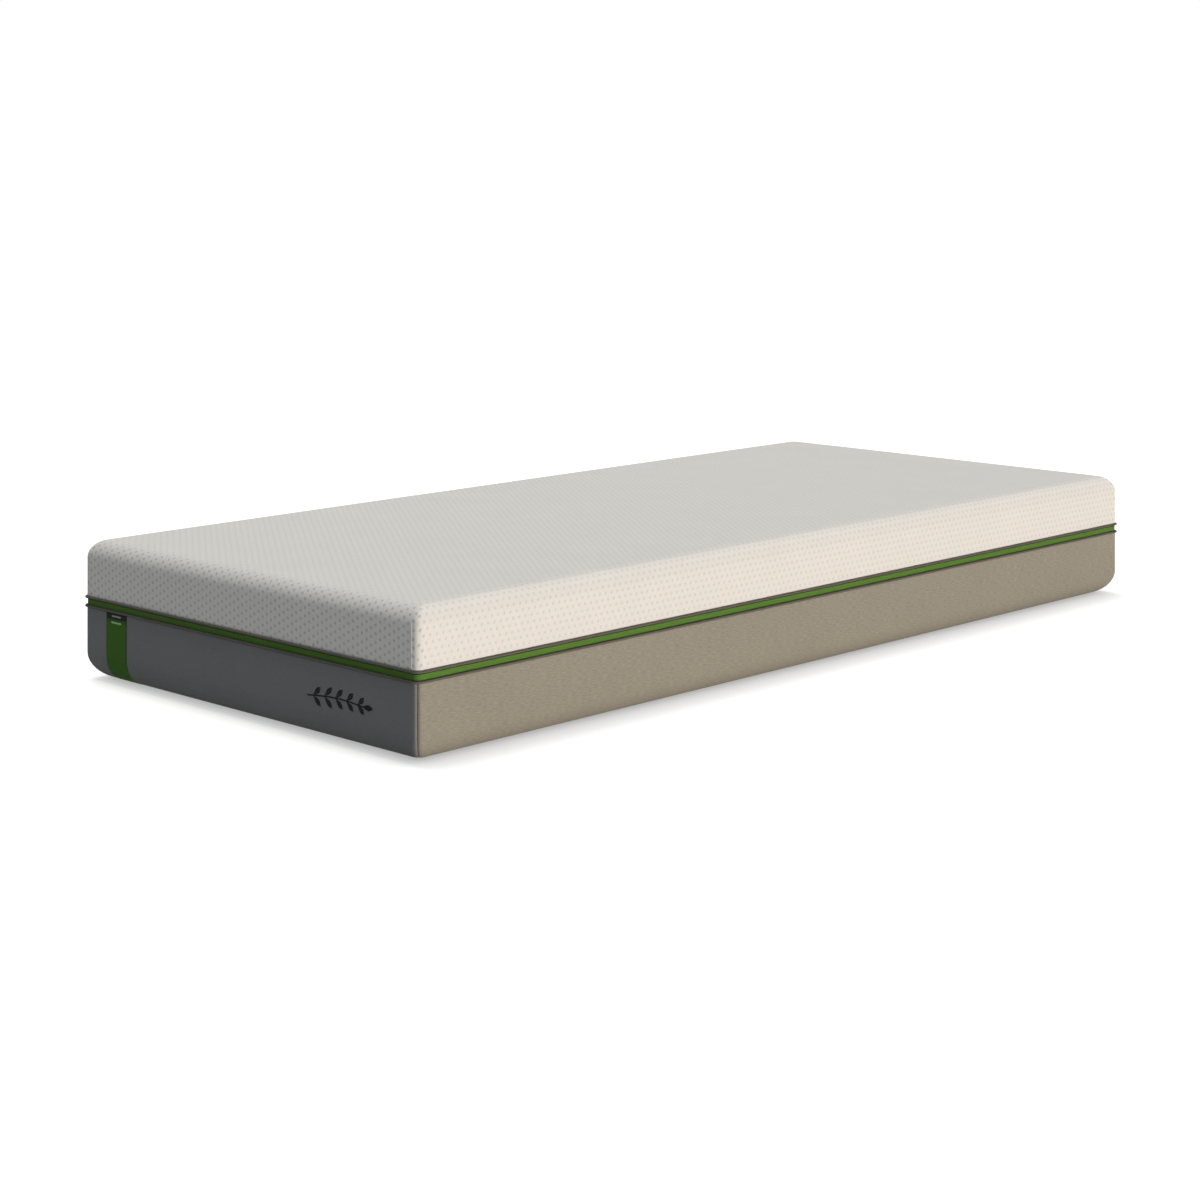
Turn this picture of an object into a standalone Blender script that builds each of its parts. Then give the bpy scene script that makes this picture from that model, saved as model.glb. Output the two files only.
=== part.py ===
"""Single-bed mattress: a foam and pocket-spring core inside a cover whose top zips off.

Metres, Z up. X runs from the foot end to the head end, +Y is the sleeper's right,
and Z = 0 is the plane that the mattress lies on.
"""

import math

import bmesh
import bpy
from mathutils import Matrix, Vector

# The cover, measured over its cloth faces. The two pipings stand proud of them.
LENGTH = 2.000
WIDTH = 0.900
HEIGHT = 0.250
CORNER_RADIUS = 0.012
TOP_ROUNDING = 0.032
BOTTOM_ROUNDING = 0.048
COVER_THICKNESS = 0.003
SEAM_GAP = 0.0003

# The trim that runs round the cover at mid height
LOWER_PIPING_Z = 0.131
PIPING_SPACING = 0.016
PIPING_RADIUS = 0.0023
PIPING_PROUD = 0.004
FLANGE_THICKNESS = 0.001
BAND_THICKNESS = 0.002

# The zip behind the slit between the upper piping and the band
ZIP_SLIT = 0.0016
TAPE_THICKNESS = 0.0006
TAPE_WIDTH = 0.012
COIL_RADIUS = 0.0009
COIL_SPACING = 0.003  # between the centres of the two halves
RUNNING_GAP = 0.0003
SLIDER_LENGTH = 0.011
SLIDER_HEIGHT = 0.008
SLIDER_PLATE = 0.0008
SLIDER_POST = 0.0006
SLIDER_LIP_HEIGHT = 0.001
SLIDER_LIP_DEPTH = 0.0005
SLIDER_FROM_SIDE = 0.090
STOP_LENGTH = 0.003
STOP_WALL = 0.0004
STOP_FROM_SLIDER = 0.0015

# The pull, hung on an upright pin in the recess between the pipings
NECK_THICKNESS = 0.001
NECK_WIDTH = 0.003
PIN_RADIUS = 0.00065
PIN_BEFORE_BAND = 0.0025
PIN_FOOT_RADIUS = 0.0013
PIN_FOOT_THICKNESS = 0.0008
PULL_LENGTH = 0.025
PULL_THICKNESS = 0.001
KNUCKLE_RADIUS = 0.0017
PIN_CLEARANCE = 0.0003
PULL_CLEARANCE = 0.0009

# The marks on the foot end
TAG_WIDTH = 0.060
TAG_FROM_RIGHT = 0.070
TAG_THICKNESS = 0.0006
TAG_HEADER_HEIGHT = 0.0095
EMBLEM_LENGTH = 0.162
EMBLEM_FROM_LEFT = 0.185
EMBLEM_Z = 0.073
EMBLEM_THICKNESS = 0.0006
STEM_WIDTH = 0.0024
STEM_RISE = 0.006
LEAF_LENGTH = 0.024
LEAF_WIDTH = 0.0085
LEAF_FOOT = 0.0018
LEAF_SWELL = 1.3  # over 1 puts a leaf's widest place beyond its middle
LEAF_PAIRS = 5
LEAF_START = 0.6  # of a pair's share of the stem, before its leaves leave it
LEAF_TAPER = 0.08  # shorter by this share for each pair away from the second
LEAF_ANGLE = math.radians(40)

# The core, from the bottom up. The springs take up the height that is left.
CORE_CLEARANCE = 0.0003
CORE_BEHIND_SLIDER = 0.0007
BASE_FOAM = 0.020
TRANSITION_FOAM = 0.020
MEMORY_FOAM = 0.030
COMFORT_FOAM = 0.030
SCRIM_THICKNESS = 0.0008
RAIL_WIDTH = 0.060
RAIL_INNER_RADIUS = 0.002
SPRING_STRINGS = 12

# How finely the curves are faceted. An even count puts a point in a corner's middle.
CORNER_STEPS = 6
ROUNDING_STEPS = 6
PIPING_STEPS = 10
PIN_SIDES = 12
KNUCKLE_SIDES = 16
LEAF_STEPS = 5
SMOOTH_BELOW = math.radians(35)

# Two points closer than this would be one
WELD = 0.00001

# Inset of the cords' middle line, which is outside the cloth faces
CORD_INSET = PIPING_RADIUS - PIPING_PROUD

# The band lies clear of the cords, with its back no further out than the cover's
BAND_FRONT = max(CORD_INSET + PIPING_RADIUS + SEAM_GAP, COVER_THICKNESS - BAND_THICKNESS)
BAND_BACK = BAND_FRONT + BAND_THICKNESS

# Heights that follow from the trim
UPPER_PIPING_Z = LOWER_PIPING_Z + PIPING_SPACING
PANEL_TOP_Z = LOWER_PIPING_Z - FLANGE_THICKNESS / 2 - SEAM_GAP
BAND_BOTTOM_Z = LOWER_PIPING_Z + FLANGE_THICKNESS / 2 + SEAM_GAP
COVER_HEM_Z = UPPER_PIPING_Z + FLANGE_THICKNESS / 2 + SEAM_GAP
BAND_TOP_Z = UPPER_PIPING_Z - PIPING_RADIUS - ZIP_SLIT
ZIP_Z = BAND_TOP_Z + ZIP_SLIT / 2

# Depths below the cloth faces that follow from the band and the running gap
SLIDER_FRONT = BAND_BACK + SEAM_GAP
CHAIN_DEPTH = SLIDER_FRONT + SLIDER_PLATE + RUNNING_GAP + COIL_RADIUS
CHAIN_SPACE = COIL_RADIUS + RUNNING_GAP
PIN_OUT = PIN_BEFORE_BAND - BAND_FRONT
CORE_INSET = CHAIN_DEPTH + CHAIN_SPACE + SLIDER_PLATE + CORE_BEHIND_SLIDER

# Places in the core
RAIL_CORNER_BITE = RAIL_INNER_RADIUS * (1 - math.sqrt(0.5))
SPRING_FIELD_INSET = CORE_INSET + RAIL_WIDTH + RAIL_CORNER_BITE + SEAM_GAP
CORE_BOTTOM_Z = COVER_THICKNESS + CORE_CLEARANCE
CORE_TOP_Z = HEIGHT - COVER_THICKNESS - CORE_CLEARANCE
RAIL_BOTTOM_Z = CORE_BOTTOM_Z + BASE_FOAM + SEAM_GAP
COMFORT_BOTTOM_Z = CORE_TOP_Z - COMFORT_FOAM
MEMORY_BOTTOM_Z = COMFORT_BOTTOM_Z - SEAM_GAP - MEMORY_FOAM
TRANSITION_BOTTOM_Z = MEMORY_BOTTOM_Z - SEAM_GAP - TRANSITION_FOAM
RAIL_TOP_Z = TRANSITION_BOTTOM_Z - SEAM_GAP

# The four sides in the order that the outline passes them
SIDES = ("right_side", "foot", "left_side", "head")


def clear_scene():
    for item in list(bpy.data.objects):
        bpy.data.objects.remove(item, do_unlink=True)


def new_collection(name, hidden=False):
    made = bpy.data.collections.new(name)
    made.hide_render = hidden
    bpy.context.scene.collection.children.link(made)
    return made


def finish_material(name, colour, roughness, metallic=0.0):
    material = bpy.data.materials.new(name)
    material.use_nodes = True
    shader = material.node_tree.nodes["Principled BSDF"]
    shader.inputs["Base Color"].default_value = (*colour, 1.0)
    shader.inputs["Roughness"].default_value = roughness
    shader.inputs["Metallic"].default_value = metallic
    material.diffuse_color = (*colour, 1.0)
    return material


def add_mesh(name, bm, material, collection):
    """Turns a finished bmesh into an object with its faces pointing outwards."""
    bmesh.ops.recalc_face_normals(bm, faces=bm.faces[:])
    mesh = bpy.data.meshes.new(name)
    bm.to_mesh(mesh)
    bm.free()
    mesh.shade_smooth()
    mesh.set_sharp_from_angle(angle=SMOOTH_BELOW)
    mesh.materials.append(material)
    part = bpy.data.objects.new(name, mesh)
    collection.objects.link(part)
    return part


def surface_profile(depth):
    """(inset, z) down the side of the mattress at this depth, from its base to its top."""
    steps = [math.radians(90 * step / ROUNDING_STEPS) for step in range(ROUNDING_STEPS + 1)]
    below = BOTTOM_ROUNDING - depth
    above = TOP_ROUNDING - depth
    bottom = [
        (BOTTOM_ROUNDING - below * math.cos(angle), BOTTOM_ROUNDING - below * math.sin(angle))
        for angle in reversed(steps)
    ]
    top = [
        (TOP_ROUNDING - above * math.cos(angle), HEIGHT - TOP_ROUNDING + above * math.sin(angle))
        for angle in steps
    ]
    return bottom + top


def inset_at(profile, level):
    """Inset of a profile at a height, on the facet that holds it."""
    for (inset_a, z_a), (inset_b, z_b) in zip(profile, profile[1:]):
        if level <= z_b:
            share = max(level - z_a, 0) / (z_b - z_a)
            return inset_a + share * (inset_b - inset_a)
    return profile[-1][0]


def clip_profile(profile, low, high):
    """The stretch of a profile between two heights, with a point on each."""
    between = [(inset, z) for inset, z in profile if low + WELD < z < high - WELD]
    return [(inset_at(profile, low), low)] + between + [(inset_at(profile, high), high)]


def with_radii(profile, depth):
    """For a profile that follows the cloth's two roundings at this depth below it."""
    return [(inset, z, CORNER_RADIUS - depth) for inset, z in profile]


def flat_radii(profile):
    """For a profile that keeps its distance from the cloth all the way round."""
    return [(depth, z, CORNER_RADIUS - depth) for depth, z in profile]


def corner_point(corner, step, inset, radius, z):
    sign_x = (1, -1, -1, 1)[corner % 4]
    sign_y = (1, 1, -1, -1)[corner % 4]
    angle = math.radians(90 * (corner + step / CORNER_STEPS))
    x = sign_x * (LENGTH / 2 - inset - radius) + radius * math.cos(angle)
    y = sign_y * (WIDTH / 2 - inset - radius) + radius * math.sin(angle)
    return Vector((x, y, z))


def outline(inset, z, radius, side=None):
    """Points round the mattress, or along one side from one corner's middle to the next."""
    if side is None:
        return [
            corner_point(corner, step, inset, radius, z)
            for corner in range(4)
            for step in range(CORNER_STEPS + 1)
        ]
    middle = CORNER_STEPS // 2
    points = [
        corner_point(side, step, inset, radius, z) for step in range(middle, CORNER_STEPS + 1)
    ]
    points += [corner_point(side + 1, step, inset, radius, z) for step in range(middle + 1)]
    half_gap = SEAM_GAP / 2
    for index, corner, forward in ((0, side, 1), (-1, side + 1, -1)):
        angle = math.radians(90 * corner + 45)
        along = Vector((-math.sin(angle), math.cos(angle), 0))
        points[index] += forward * half_gap * along
    return points


def hem_points(cord_z, away, edge_z):
    """(inset, z) round a cord, from the cloth's face to its hem. away is 1 above the cord."""
    reach = PIPING_RADIUS + SEAM_GAP
    first = math.acos(-CORD_INSET / reach)
    last = math.asin(abs(edge_z - cord_z) / reach)
    return [
        (CORD_INSET + reach * math.cos(angle), cord_z + away * reach * math.sin(angle))
        for angle in (first, (first + last) / 2, last)
    ]


def sweep(profile, closed, side=None):
    """Lofts a profile of (inset, z, radius) points round the mattress or along one side."""
    bm = bmesh.new()
    rings = []
    for inset, z, radius in profile:
        ring = [bm.verts.new(point) for point in outline(inset, z, radius, side)]
        rings.append(ring if side is not None else ring + ring[:1])
    for ring, after in zip(rings, rings[1:] + (rings[:1] if closed else [])):
        for index in range(len(ring) - 1):
            bm.faces.new((ring[index], ring[index + 1], after[index + 1], after[index]))
    bmesh.ops.holes_fill(bm, edges=bm.edges[:], sides=0)
    return bm


def prism(points, direction, thickness):
    """A flat outline pushed along one direction, centred on it."""
    bm = bmesh.new()
    shift = direction.normalized() * thickness
    face = bm.faces.new([bm.verts.new(point - shift / 2) for point in points])
    pushed = bmesh.ops.extrude_face_region(bm, geom=[face])["geom"]
    moved = [item for item in pushed if isinstance(item, bmesh.types.BMVert)]
    bmesh.ops.translate(bm, verts=moved, vec=shift)
    return bm


def box(low, high):
    bm = bmesh.new()
    size = Vector(high) - Vector(low)
    middle = (Vector(high) + Vector(low)) / 2
    place = Matrix.Translation(middle) @ Matrix.Diagonal((*size, 1))
    bmesh.ops.create_cube(bm, size=1.0, matrix=place)
    return bm


def cylinder(radius, low, high, sides):
    """An upright cylinder on the local Z axis."""
    bm = bmesh.new()
    bmesh.ops.create_cone(
        bm, cap_ends=True, segments=sides, radius1=radius, radius2=radius, depth=high - low,
        matrix=Matrix.Translation((0, 0, (low + high) / 2)),
    )
    return bm


def join(part, helper, operation):
    """Joins a helper to a part, or cuts it out, and hides the helper."""
    helper.parent = part
    helper.hide_render = True
    helper.display_type = "WIRE"
    modifier = part.modifiers.new(helper.name, "BOOLEAN")
    modifier.operation = operation
    modifier.solver = "EXACT"
    modifier.object = helper


# The cover


def build_top_cover(collection):
    """Knitted top, sides and corners in one piece, open below, hemmed above the upper piping."""
    hem = hem_points(UPPER_PIPING_Z, 1, COVER_HEM_Z)
    outer = clip_profile(surface_profile(0.0), hem[0][1], HEIGHT)
    inner = clip_profile(
        surface_profile(COVER_THICKNESS), COVER_HEM_Z, HEIGHT - COVER_THICKNESS
    )
    profile = with_radii(reversed(outer), 0.0) + flat_radii(hem[1:])
    profile += with_radii(inner, COVER_THICKNESS)
    knit = finish_material("white_knit", (0.80, 0.78, 0.74), 0.90)
    return add_mesh("top_cover", sweep(profile, closed=False), knit, collection)


def build_piping(name, z, flange_depth, collection):
    """A cloth-wrapped cord with the flange that it is sewn in by."""
    opening = math.asin(FLANGE_THICKNESS / 2 / PIPING_RADIUS)
    first = math.pi - opening
    profile = []
    for step in range(PIPING_STEPS + 1):
        angle = first * (1 - 2 * step / PIPING_STEPS)
        profile.append(
            (CORD_INSET - PIPING_RADIUS * math.cos(angle), z + PIPING_RADIUS * math.sin(angle))
        )
    profile.append((flange_depth, z - FLANGE_THICKNESS / 2))
    profile.append((flange_depth, z + FLANGE_THICKNESS / 2))
    taupe = finish_material(name + "_cloth", (0.24, 0.21, 0.17), 0.85)
    return add_mesh(name, sweep(flat_radii(profile), closed=True), taupe, collection)


def build_band(collection):
    """The green band between the pipings, open along its top for the zip."""
    profile = [
        (BAND_FRONT, BAND_BOTTOM_Z),
        (BAND_FRONT, BAND_TOP_Z),
        (BAND_BACK, BAND_TOP_Z),
        (BAND_BACK, BAND_BOTTOM_Z),
    ]
    green = finish_material("green_webbing", (0.075, 0.20, 0.020), 0.80)
    return add_mesh("trim_band", sweep(flat_radii(profile), closed=True), green, collection)


def build_side_panels(collection):
    """The four panels of the lower cover, which turn under the bottom edge."""
    hem = hem_points(LOWER_PIPING_Z, -1, PANEL_TOP_Z)
    outer = clip_profile(surface_profile(0.0), 0.0, hem[0][1])
    inner = clip_profile(surface_profile(COVER_THICKNESS), COVER_THICKNESS, PANEL_TOP_Z)
    profile = with_radii(outer, 0.0) + flat_radii(hem[1:])
    profile += with_radii(reversed(inner), COVER_THICKNESS)
    taupe = finish_material("taupe_linen", (0.30, 0.265, 0.215), 0.90)
    grey = finish_material("dark_grey_weave", (0.20, 0.20, 0.205), 0.90)
    for index, side in enumerate(SIDES):
        cloth = taupe if side in ("left_side", "right_side") else grey
        add_mesh(side + "_panel", sweep(profile, closed=True, side=index), cloth, collection)


def build_base_panel(collection):
    inset = BOTTOM_ROUNDING + SEAM_GAP
    profile = [(inset, 0.0, CORNER_RADIUS), (inset, COVER_THICKNESS, CORNER_RADIUS)]
    grip = finish_material("base_grip_cloth", (0.07, 0.07, 0.075), 0.95)
    return add_mesh("base_panel", sweep(profile, closed=False), grip, collection)


def build_tag(collection):
    """A black header under the lower piping, and a green ribbon that turns under the edge."""
    near = surface_profile(-SEAM_GAP)
    far = surface_profile(-SEAM_GAP - TAG_THICKNESS)
    header_top = LOWER_PIPING_Z - PIPING_RADIUS - 2 * SEAM_GAP
    header_bottom = header_top - TAG_HEADER_HEIGHT
    ribbon_top = header_bottom - SEAM_GAP
    lowest = 1  # the ribbon stops one facet short of the base
    header = clip_profile(near, header_bottom, header_top)
    header += reversed(clip_profile(far, header_bottom, header_top))
    ribbon = clip_profile(near, near[lowest][1], ribbon_top)
    ribbon += reversed(clip_profile(far, far[lowest][1], ribbon_top))
    black = finish_material("black_satin", (0.012, 0.012, 0.013), 0.60)
    green = finish_material("green_satin", (0.050, 0.135, 0.018), 0.60)
    middle_y = WIDTH / 2 - TAG_FROM_RIGHT - TAG_WIDTH / 2
    for name, loop, cloth in (("tag_header", header, black), ("tag_ribbon", ribbon, green)):
        points = [Vector((inset - LENGTH / 2, middle_y, z)) for inset, z in loop]
        add_mesh(name, prism(points, Vector((0, 1, 0)), TAG_WIDTH), cloth, collection)


def leaf_outline(foot, angle, length, width):
    """Points round one leaf, from the near side of its foot to the far side."""
    along = Vector((math.cos(angle), math.sin(angle), 0))
    across = Vector((-math.sin(angle), math.cos(angle), 0))
    shares = [step / LEAF_STEPS for step in range(LEAF_STEPS + 1)]
    halves = [
        LEAF_FOOT / 2 * (1 - share) + width / 2 * math.sin(math.pi * share ** LEAF_SWELL)
        for share in shares
    ]
    places = list(zip(shares, halves))
    near = [foot + along * length * share - across * half for share, half in places]
    far = [foot + along * length * share + across * half for share, half in places[:-1]]
    return near, far


def stem_point(share):
    """The stem's middle line: one slow rise and fall."""
    x = EMBLEM_LENGTH * (share - 0.5)
    return Vector((x, STEM_RISE * math.sin(math.pi * share) - STEM_RISE / 2, 0))


def build_emblem(collection):
    """A sprig of leaves in one outline: out along its upper edge and back along its lower."""
    half = Vector((0, STEM_WIDTH / 2, 0))
    stem_share = 1 - LEAF_LENGTH / EMBLEM_LENGTH
    upper = [stem_point(0) + half]
    lower = [stem_point(0) - half]
    for pair in range(LEAF_PAIRS):
        share = stem_share * (pair + LEAF_START) / LEAF_PAIRS
        size = LEAF_LENGTH * (1 - LEAF_TAPER * abs(pair - 1))
        near, far = leaf_outline(stem_point(share) + half, LEAF_ANGLE, size, LEAF_WIDTH)
        upper += far + list(reversed(near))
        near, far = leaf_outline(stem_point(share) - half, -LEAF_ANGLE, size, LEAF_WIDTH)
        lower += near + list(reversed(far))
    near, far = leaf_outline(stem_point(stem_share), 0.0, LEAF_LENGTH, LEAF_WIDTH)
    points = upper + far + list(reversed(near)) + list(reversed(lower))
    bm = prism(points, Vector((0, 0, 1)), EMBLEM_THICKNESS)
    black = finish_material("black_thread", (0.010, 0.010, 0.011), 0.70)
    emblem = add_mesh("leaf_emblem", bm, black, collection)
    emblem.rotation_euler = (math.radians(90), 0, math.radians(-90))
    stand_off = SEAM_GAP + EMBLEM_THICKNESS / 2
    emblem.location = (-LENGTH / 2 - stand_off, EMBLEM_FROM_LEFT - WIDTH / 2, EMBLEM_Z)
    return emblem


# The zip


def build_zip_tape(name, up, seam, collection):
    """One tape: flat at its seam's depth, then stepped in to the chain. up is 1 or -1."""
    chain = CHAIN_DEPTH - TAPE_THICKNESS / 2
    edge = COIL_SPACING / 2 + COIL_RADIUS + RUNNING_GAP
    clear = SLIDER_HEIGHT / 2 + RUNNING_GAP
    step = clear + (chain - seam) * 2
    front = [(chain, edge), (chain, clear), (seam, step), (seam, TAPE_WIDTH)]
    back = [(depth + TAPE_THICKNESS, z) for depth, z in reversed(front)]
    profile = [(depth, ZIP_Z + up * z) for depth, z in front + back]
    cloth = finish_material(name + "_cloth", (0.10, 0.10, 0.10), 0.85)
    return add_mesh(name, sweep(flat_radii(profile), closed=True), cloth, collection)


def build_zip_coil(name, up, collection):
    """One half of the chain, as the plain cord that its turns fill."""
    height = ZIP_Z + up * COIL_SPACING / 2
    points = outline(CHAIN_DEPTH, height, CORNER_RADIUS - CHAIN_DEPTH)
    curve = bpy.data.curves.new(name, "CURVE")
    curve.dimensions = "3D"
    curve.bevel_depth = COIL_RADIUS
    curve.bevel_resolution = 2
    curve.use_fill_caps = True
    spline = curve.splines.new("POLY")
    spline.points.add(len(points) - 1)
    for place, point in zip(spline.points, points):
        place.co = (*point, 1)
    spline.use_cyclic_u = True
    curve.materials.append(finish_material(name + "_nylon", (0.06, 0.06, 0.06), 0.45))
    coil = bpy.data.objects.new(name, curve)
    collection.objects.link(coil)
    return coil


def slider_section():
    """(outward, up) round the slider: two plates, the post between them, and lower lips."""
    front = -SLIDER_FRONT
    front_in = front - SLIDER_PLATE
    back_in = -CHAIN_DEPTH - CHAIN_SPACE
    back = back_in - SLIDER_PLATE
    top = SLIDER_HEIGHT / 2
    post = SLIDER_POST / 2
    lip = SLIDER_LIP_HEIGHT - top
    return [
        (front, -top), (front, top), (front_in, top), (front_in, post),
        (back_in, post), (back_in, top), (back, top), (back, -top),
        (back_in + SLIDER_LIP_DEPTH, -top), (back_in + SLIDER_LIP_DEPTH, lip),
        (back_in, lip), (back_in, -post), (front_in, -post), (front_in, lip),
        (front_in - SLIDER_LIP_DEPTH, lip), (front_in - SLIDER_LIP_DEPTH, -top),
    ]


def pin_heights():
    """Bottom of the pin's foot, top of the foot, and the top of the pin, from the slit."""
    foot_bottom = LOWER_PIPING_Z + PIPING_RADIUS + PULL_CLEARANCE - ZIP_Z
    return foot_bottom, foot_bottom + PIN_FOOT_THICKNESS, 0.0


def build_zip_slider(collection, helpers):
    """The slider, with the neck and pin that carry the pull through the slit."""
    metal = finish_material("zip_zinc", (0.30, 0.29, 0.28), 0.35, 1.0)
    section = [Vector((outward, 0, up)) for outward, up in slider_section()]
    body = prism(section, Vector((0, 1, 0)), SLIDER_LENGTH)
    slider = add_mesh("zip_slider", body, metal, collection)
    foot_bottom, foot_top, pin_top = pin_heights()
    overlap = SLIDER_PLATE / 2
    half_neck = NECK_THICKNESS / 2
    low = (-SLIDER_FRONT - overlap, -NECK_WIDTH / 2, -half_neck)
    high = (PIN_OUT + PIN_RADIUS, NECK_WIDTH / 2, half_neck)
    shapes = {
        "slider_neck": box(low, high),
        "slider_pin": cylinder(PIN_RADIUS, foot_bottom + PIN_FOOT_THICKNESS / 2, pin_top, PIN_SIDES),
        "slider_pin_foot": cylinder(PIN_FOOT_RADIUS, foot_bottom, foot_top, PIN_SIDES),
    }
    for name, shape in shapes.items():
        helper = add_mesh(name, shape, metal, helpers)
        if name != "slider_neck":
            helper.location = (PIN_OUT, 0, 0)
        join(slider, helper, "UNION")
    slider.location = (LENGTH / 2, SLIDER_FROM_SIDE - WIDTH / 2, ZIP_Z)
    return slider


def build_zip_pull(slider, collection, helpers):
    """A flat pull along the recess. Its origin is on the pin that it swings about."""
    metal = finish_material("pull_zinc", (0.34, 0.33, 0.32), 0.35, 1.0)
    foot_top = pin_heights()[1]
    low = foot_top + RUNNING_GAP
    high = -NECK_THICKNESS / 2 - RUNNING_GAP - (ZIP_SLIT - NECK_THICKNESS) / 2
    half = PULL_THICKNESS / 2
    start = PIN_RADIUS + PIN_CLEARANCE + half
    plate = box((-half, start, low), (half, PULL_LENGTH, high))
    pull = add_mesh("zip_pull", plate, metal, collection)
    knuckle = add_mesh("pull_knuckle", cylinder(KNUCKLE_RADIUS, low, high, KNUCKLE_SIDES), metal, helpers)
    bore_low, bore_high = low - KNUCKLE_RADIUS, high + KNUCKLE_RADIUS
    bore = cylinder(PIN_RADIUS + PIN_CLEARANCE, bore_low, bore_high, KNUCKLE_SIDES)
    join(pull, knuckle, "UNION")
    join(pull, add_mesh("pull_bore", bore, metal, helpers), "DIFFERENCE")
    pull.parent = slider
    pull.location = (PIN_OUT, 0, 0)
    return pull


def build_zip_stop(collection):
    """The metal clip that ends the slider's run, closed over the lower coil."""
    inner = CHAIN_SPACE
    outer = CHAIN_SPACE + STOP_WALL
    top = COIL_RADIUS + RUNNING_GAP
    bottom = -COIL_RADIUS - RUNNING_GAP
    section = [
        (-outer, bottom), (-outer, top + STOP_WALL), (outer, top + STOP_WALL), (outer, bottom),
        (inner, bottom), (inner, top), (-inner, top), (-inner, bottom),
    ]
    points = [Vector((across, 0, up)) for across, up in section]
    metal = finish_material("stop_zinc", (0.30, 0.29, 0.28), 0.40, 1.0)
    clip = prism(points, Vector((0, 1, 0)), STOP_LENGTH)
    stop = add_mesh("zip_end_stop", clip, metal, collection)
    from_side = SLIDER_FROM_SIDE - SLIDER_LENGTH / 2 - STOP_FROM_SLIDER - STOP_LENGTH / 2
    coil_z = ZIP_Z - COIL_SPACING / 2
    stop.location = (LENGTH / 2 - CHAIN_DEPTH, from_side - WIDTH / 2, coil_z)
    return stop


# The core


def core_profile(low, high):
    """The core's side between two heights: inside the cover, and never proud of its own wall."""
    depth = COVER_THICKNESS + CORE_CLEARANCE
    profile = clip_profile(surface_profile(depth), low, high)
    inside = [(max(inset, CORE_INSET), z) for inset, z in profile]
    return with_radii(inside, depth)


def build_foam_layers(collection):
    layers = {
        "base_foam": (CORE_BOTTOM_Z, CORE_BOTTOM_Z + BASE_FOAM, (0.62, 0.60, 0.56)),
        "transition_foam": (TRANSITION_BOTTOM_Z, MEMORY_BOTTOM_Z - SEAM_GAP, (0.66, 0.66, 0.63)),
        "memory_foam": (MEMORY_BOTTOM_Z, COMFORT_BOTTOM_Z - SEAM_GAP, (0.74, 0.72, 0.62)),
        "comfort_foam": (COMFORT_BOTTOM_Z, CORE_TOP_Z, (0.40, 0.58, 0.62)),
    }
    for name, (low, high, colour) in layers.items():
        foam = finish_material(name + "_cells", colour, 0.95)
        add_mesh(name, sweep(core_profile(low, high), closed=False), foam, collection)


def build_edge_rails(collection):
    """Four foam rails round the springs, mitred at the corners."""
    inner_inset = CORE_INSET + RAIL_WIDTH
    inner = [(inner_inset, z, RAIL_INNER_RADIUS) for z in (RAIL_TOP_Z, RAIL_BOTTOM_Z)]
    profile = core_profile(RAIL_BOTTOM_Z, RAIL_TOP_Z) + inner
    foam = finish_material("rail_foam_cells", (0.70, 0.70, 0.68), 0.95)
    for index, side in enumerate(SIDES):
        name = side.replace("_side", "") + "_edge_rail"
        add_mesh(name, sweep(profile, closed=True, side=index), foam, collection)


def build_springs(collection):
    """Strings of pocketed coils, side by side between two thin scrims."""
    half_x = LENGTH / 2 - SPRING_FIELD_INSET
    half_y = WIDTH / 2 - SPRING_FIELD_INSET
    scrims = {
        "lower_scrim": RAIL_BOTTOM_Z,
        "upper_scrim": RAIL_TOP_Z - SCRIM_THICKNESS,
    }
    felt = finish_material("scrim_felt", (0.78, 0.78, 0.78), 0.95)
    for name, z in scrims.items():
        sheet = box((-half_x, -half_y, z), (half_x, half_y, z + SCRIM_THICKNESS))
        add_mesh(name, sheet, felt, collection)
    low = RAIL_BOTTOM_Z + SCRIM_THICKNESS + SEAM_GAP
    high = RAIL_TOP_Z - SCRIM_THICKNESS - SEAM_GAP
    pitch = 2 * half_y / SPRING_STRINGS
    half_width = (pitch - SEAM_GAP) / 2
    pocket = finish_material("pocket_fleece", (0.80, 0.80, 0.80), 0.90)
    for number in range(SPRING_STRINGS):
        name = f"spring_string_{number + 1:02d}"
        block = box((-half_x, -half_width, low), (half_x, half_width, high))
        string = add_mesh(name, block, pocket, collection)
        string.location.y = (number + 0.5) * pitch - half_y


def main():
    clear_scene()
    mattress = new_collection("mattress")
    helpers = new_collection("helpers", hidden=True)

    lifting = bpy.data.objects.new("removable_cover", None)
    mattress.objects.link(lifting)
    lifting.location = (0, 0, UPPER_PIPING_Z)
    lifted = [
        build_top_cover(mattress),
        build_piping("upper_piping", UPPER_PIPING_Z, COVER_THICKNESS, mattress),
        build_zip_tape("upper_zip_tape", 1, COVER_THICKNESS + SEAM_GAP, mattress),
        build_zip_coil("upper_zip_coil", 1, mattress),
    ]
    for part in lifted:
        part.parent = lifting
        part.matrix_parent_inverse = Matrix.Translation((0, 0, -UPPER_PIPING_Z))

    build_piping("lower_piping", LOWER_PIPING_Z, BAND_BACK, mattress)
    build_band(mattress)
    build_side_panels(mattress)
    build_base_panel(mattress)
    build_tag(mattress)
    build_emblem(mattress)

    build_zip_tape("lower_zip_tape", -1, BAND_BACK + SEAM_GAP, mattress)
    build_zip_coil("lower_zip_coil", -1, mattress)
    slider = build_zip_slider(mattress, helpers)
    build_zip_pull(slider, mattress, helpers)
    build_zip_stop(mattress)

    build_foam_layers(mattress)
    build_edge_rails(mattress)
    build_springs(mattress)


main()
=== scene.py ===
import math

import bmesh
import bpy
from mathutils import Matrix, Vector, kdtree, noise


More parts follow.
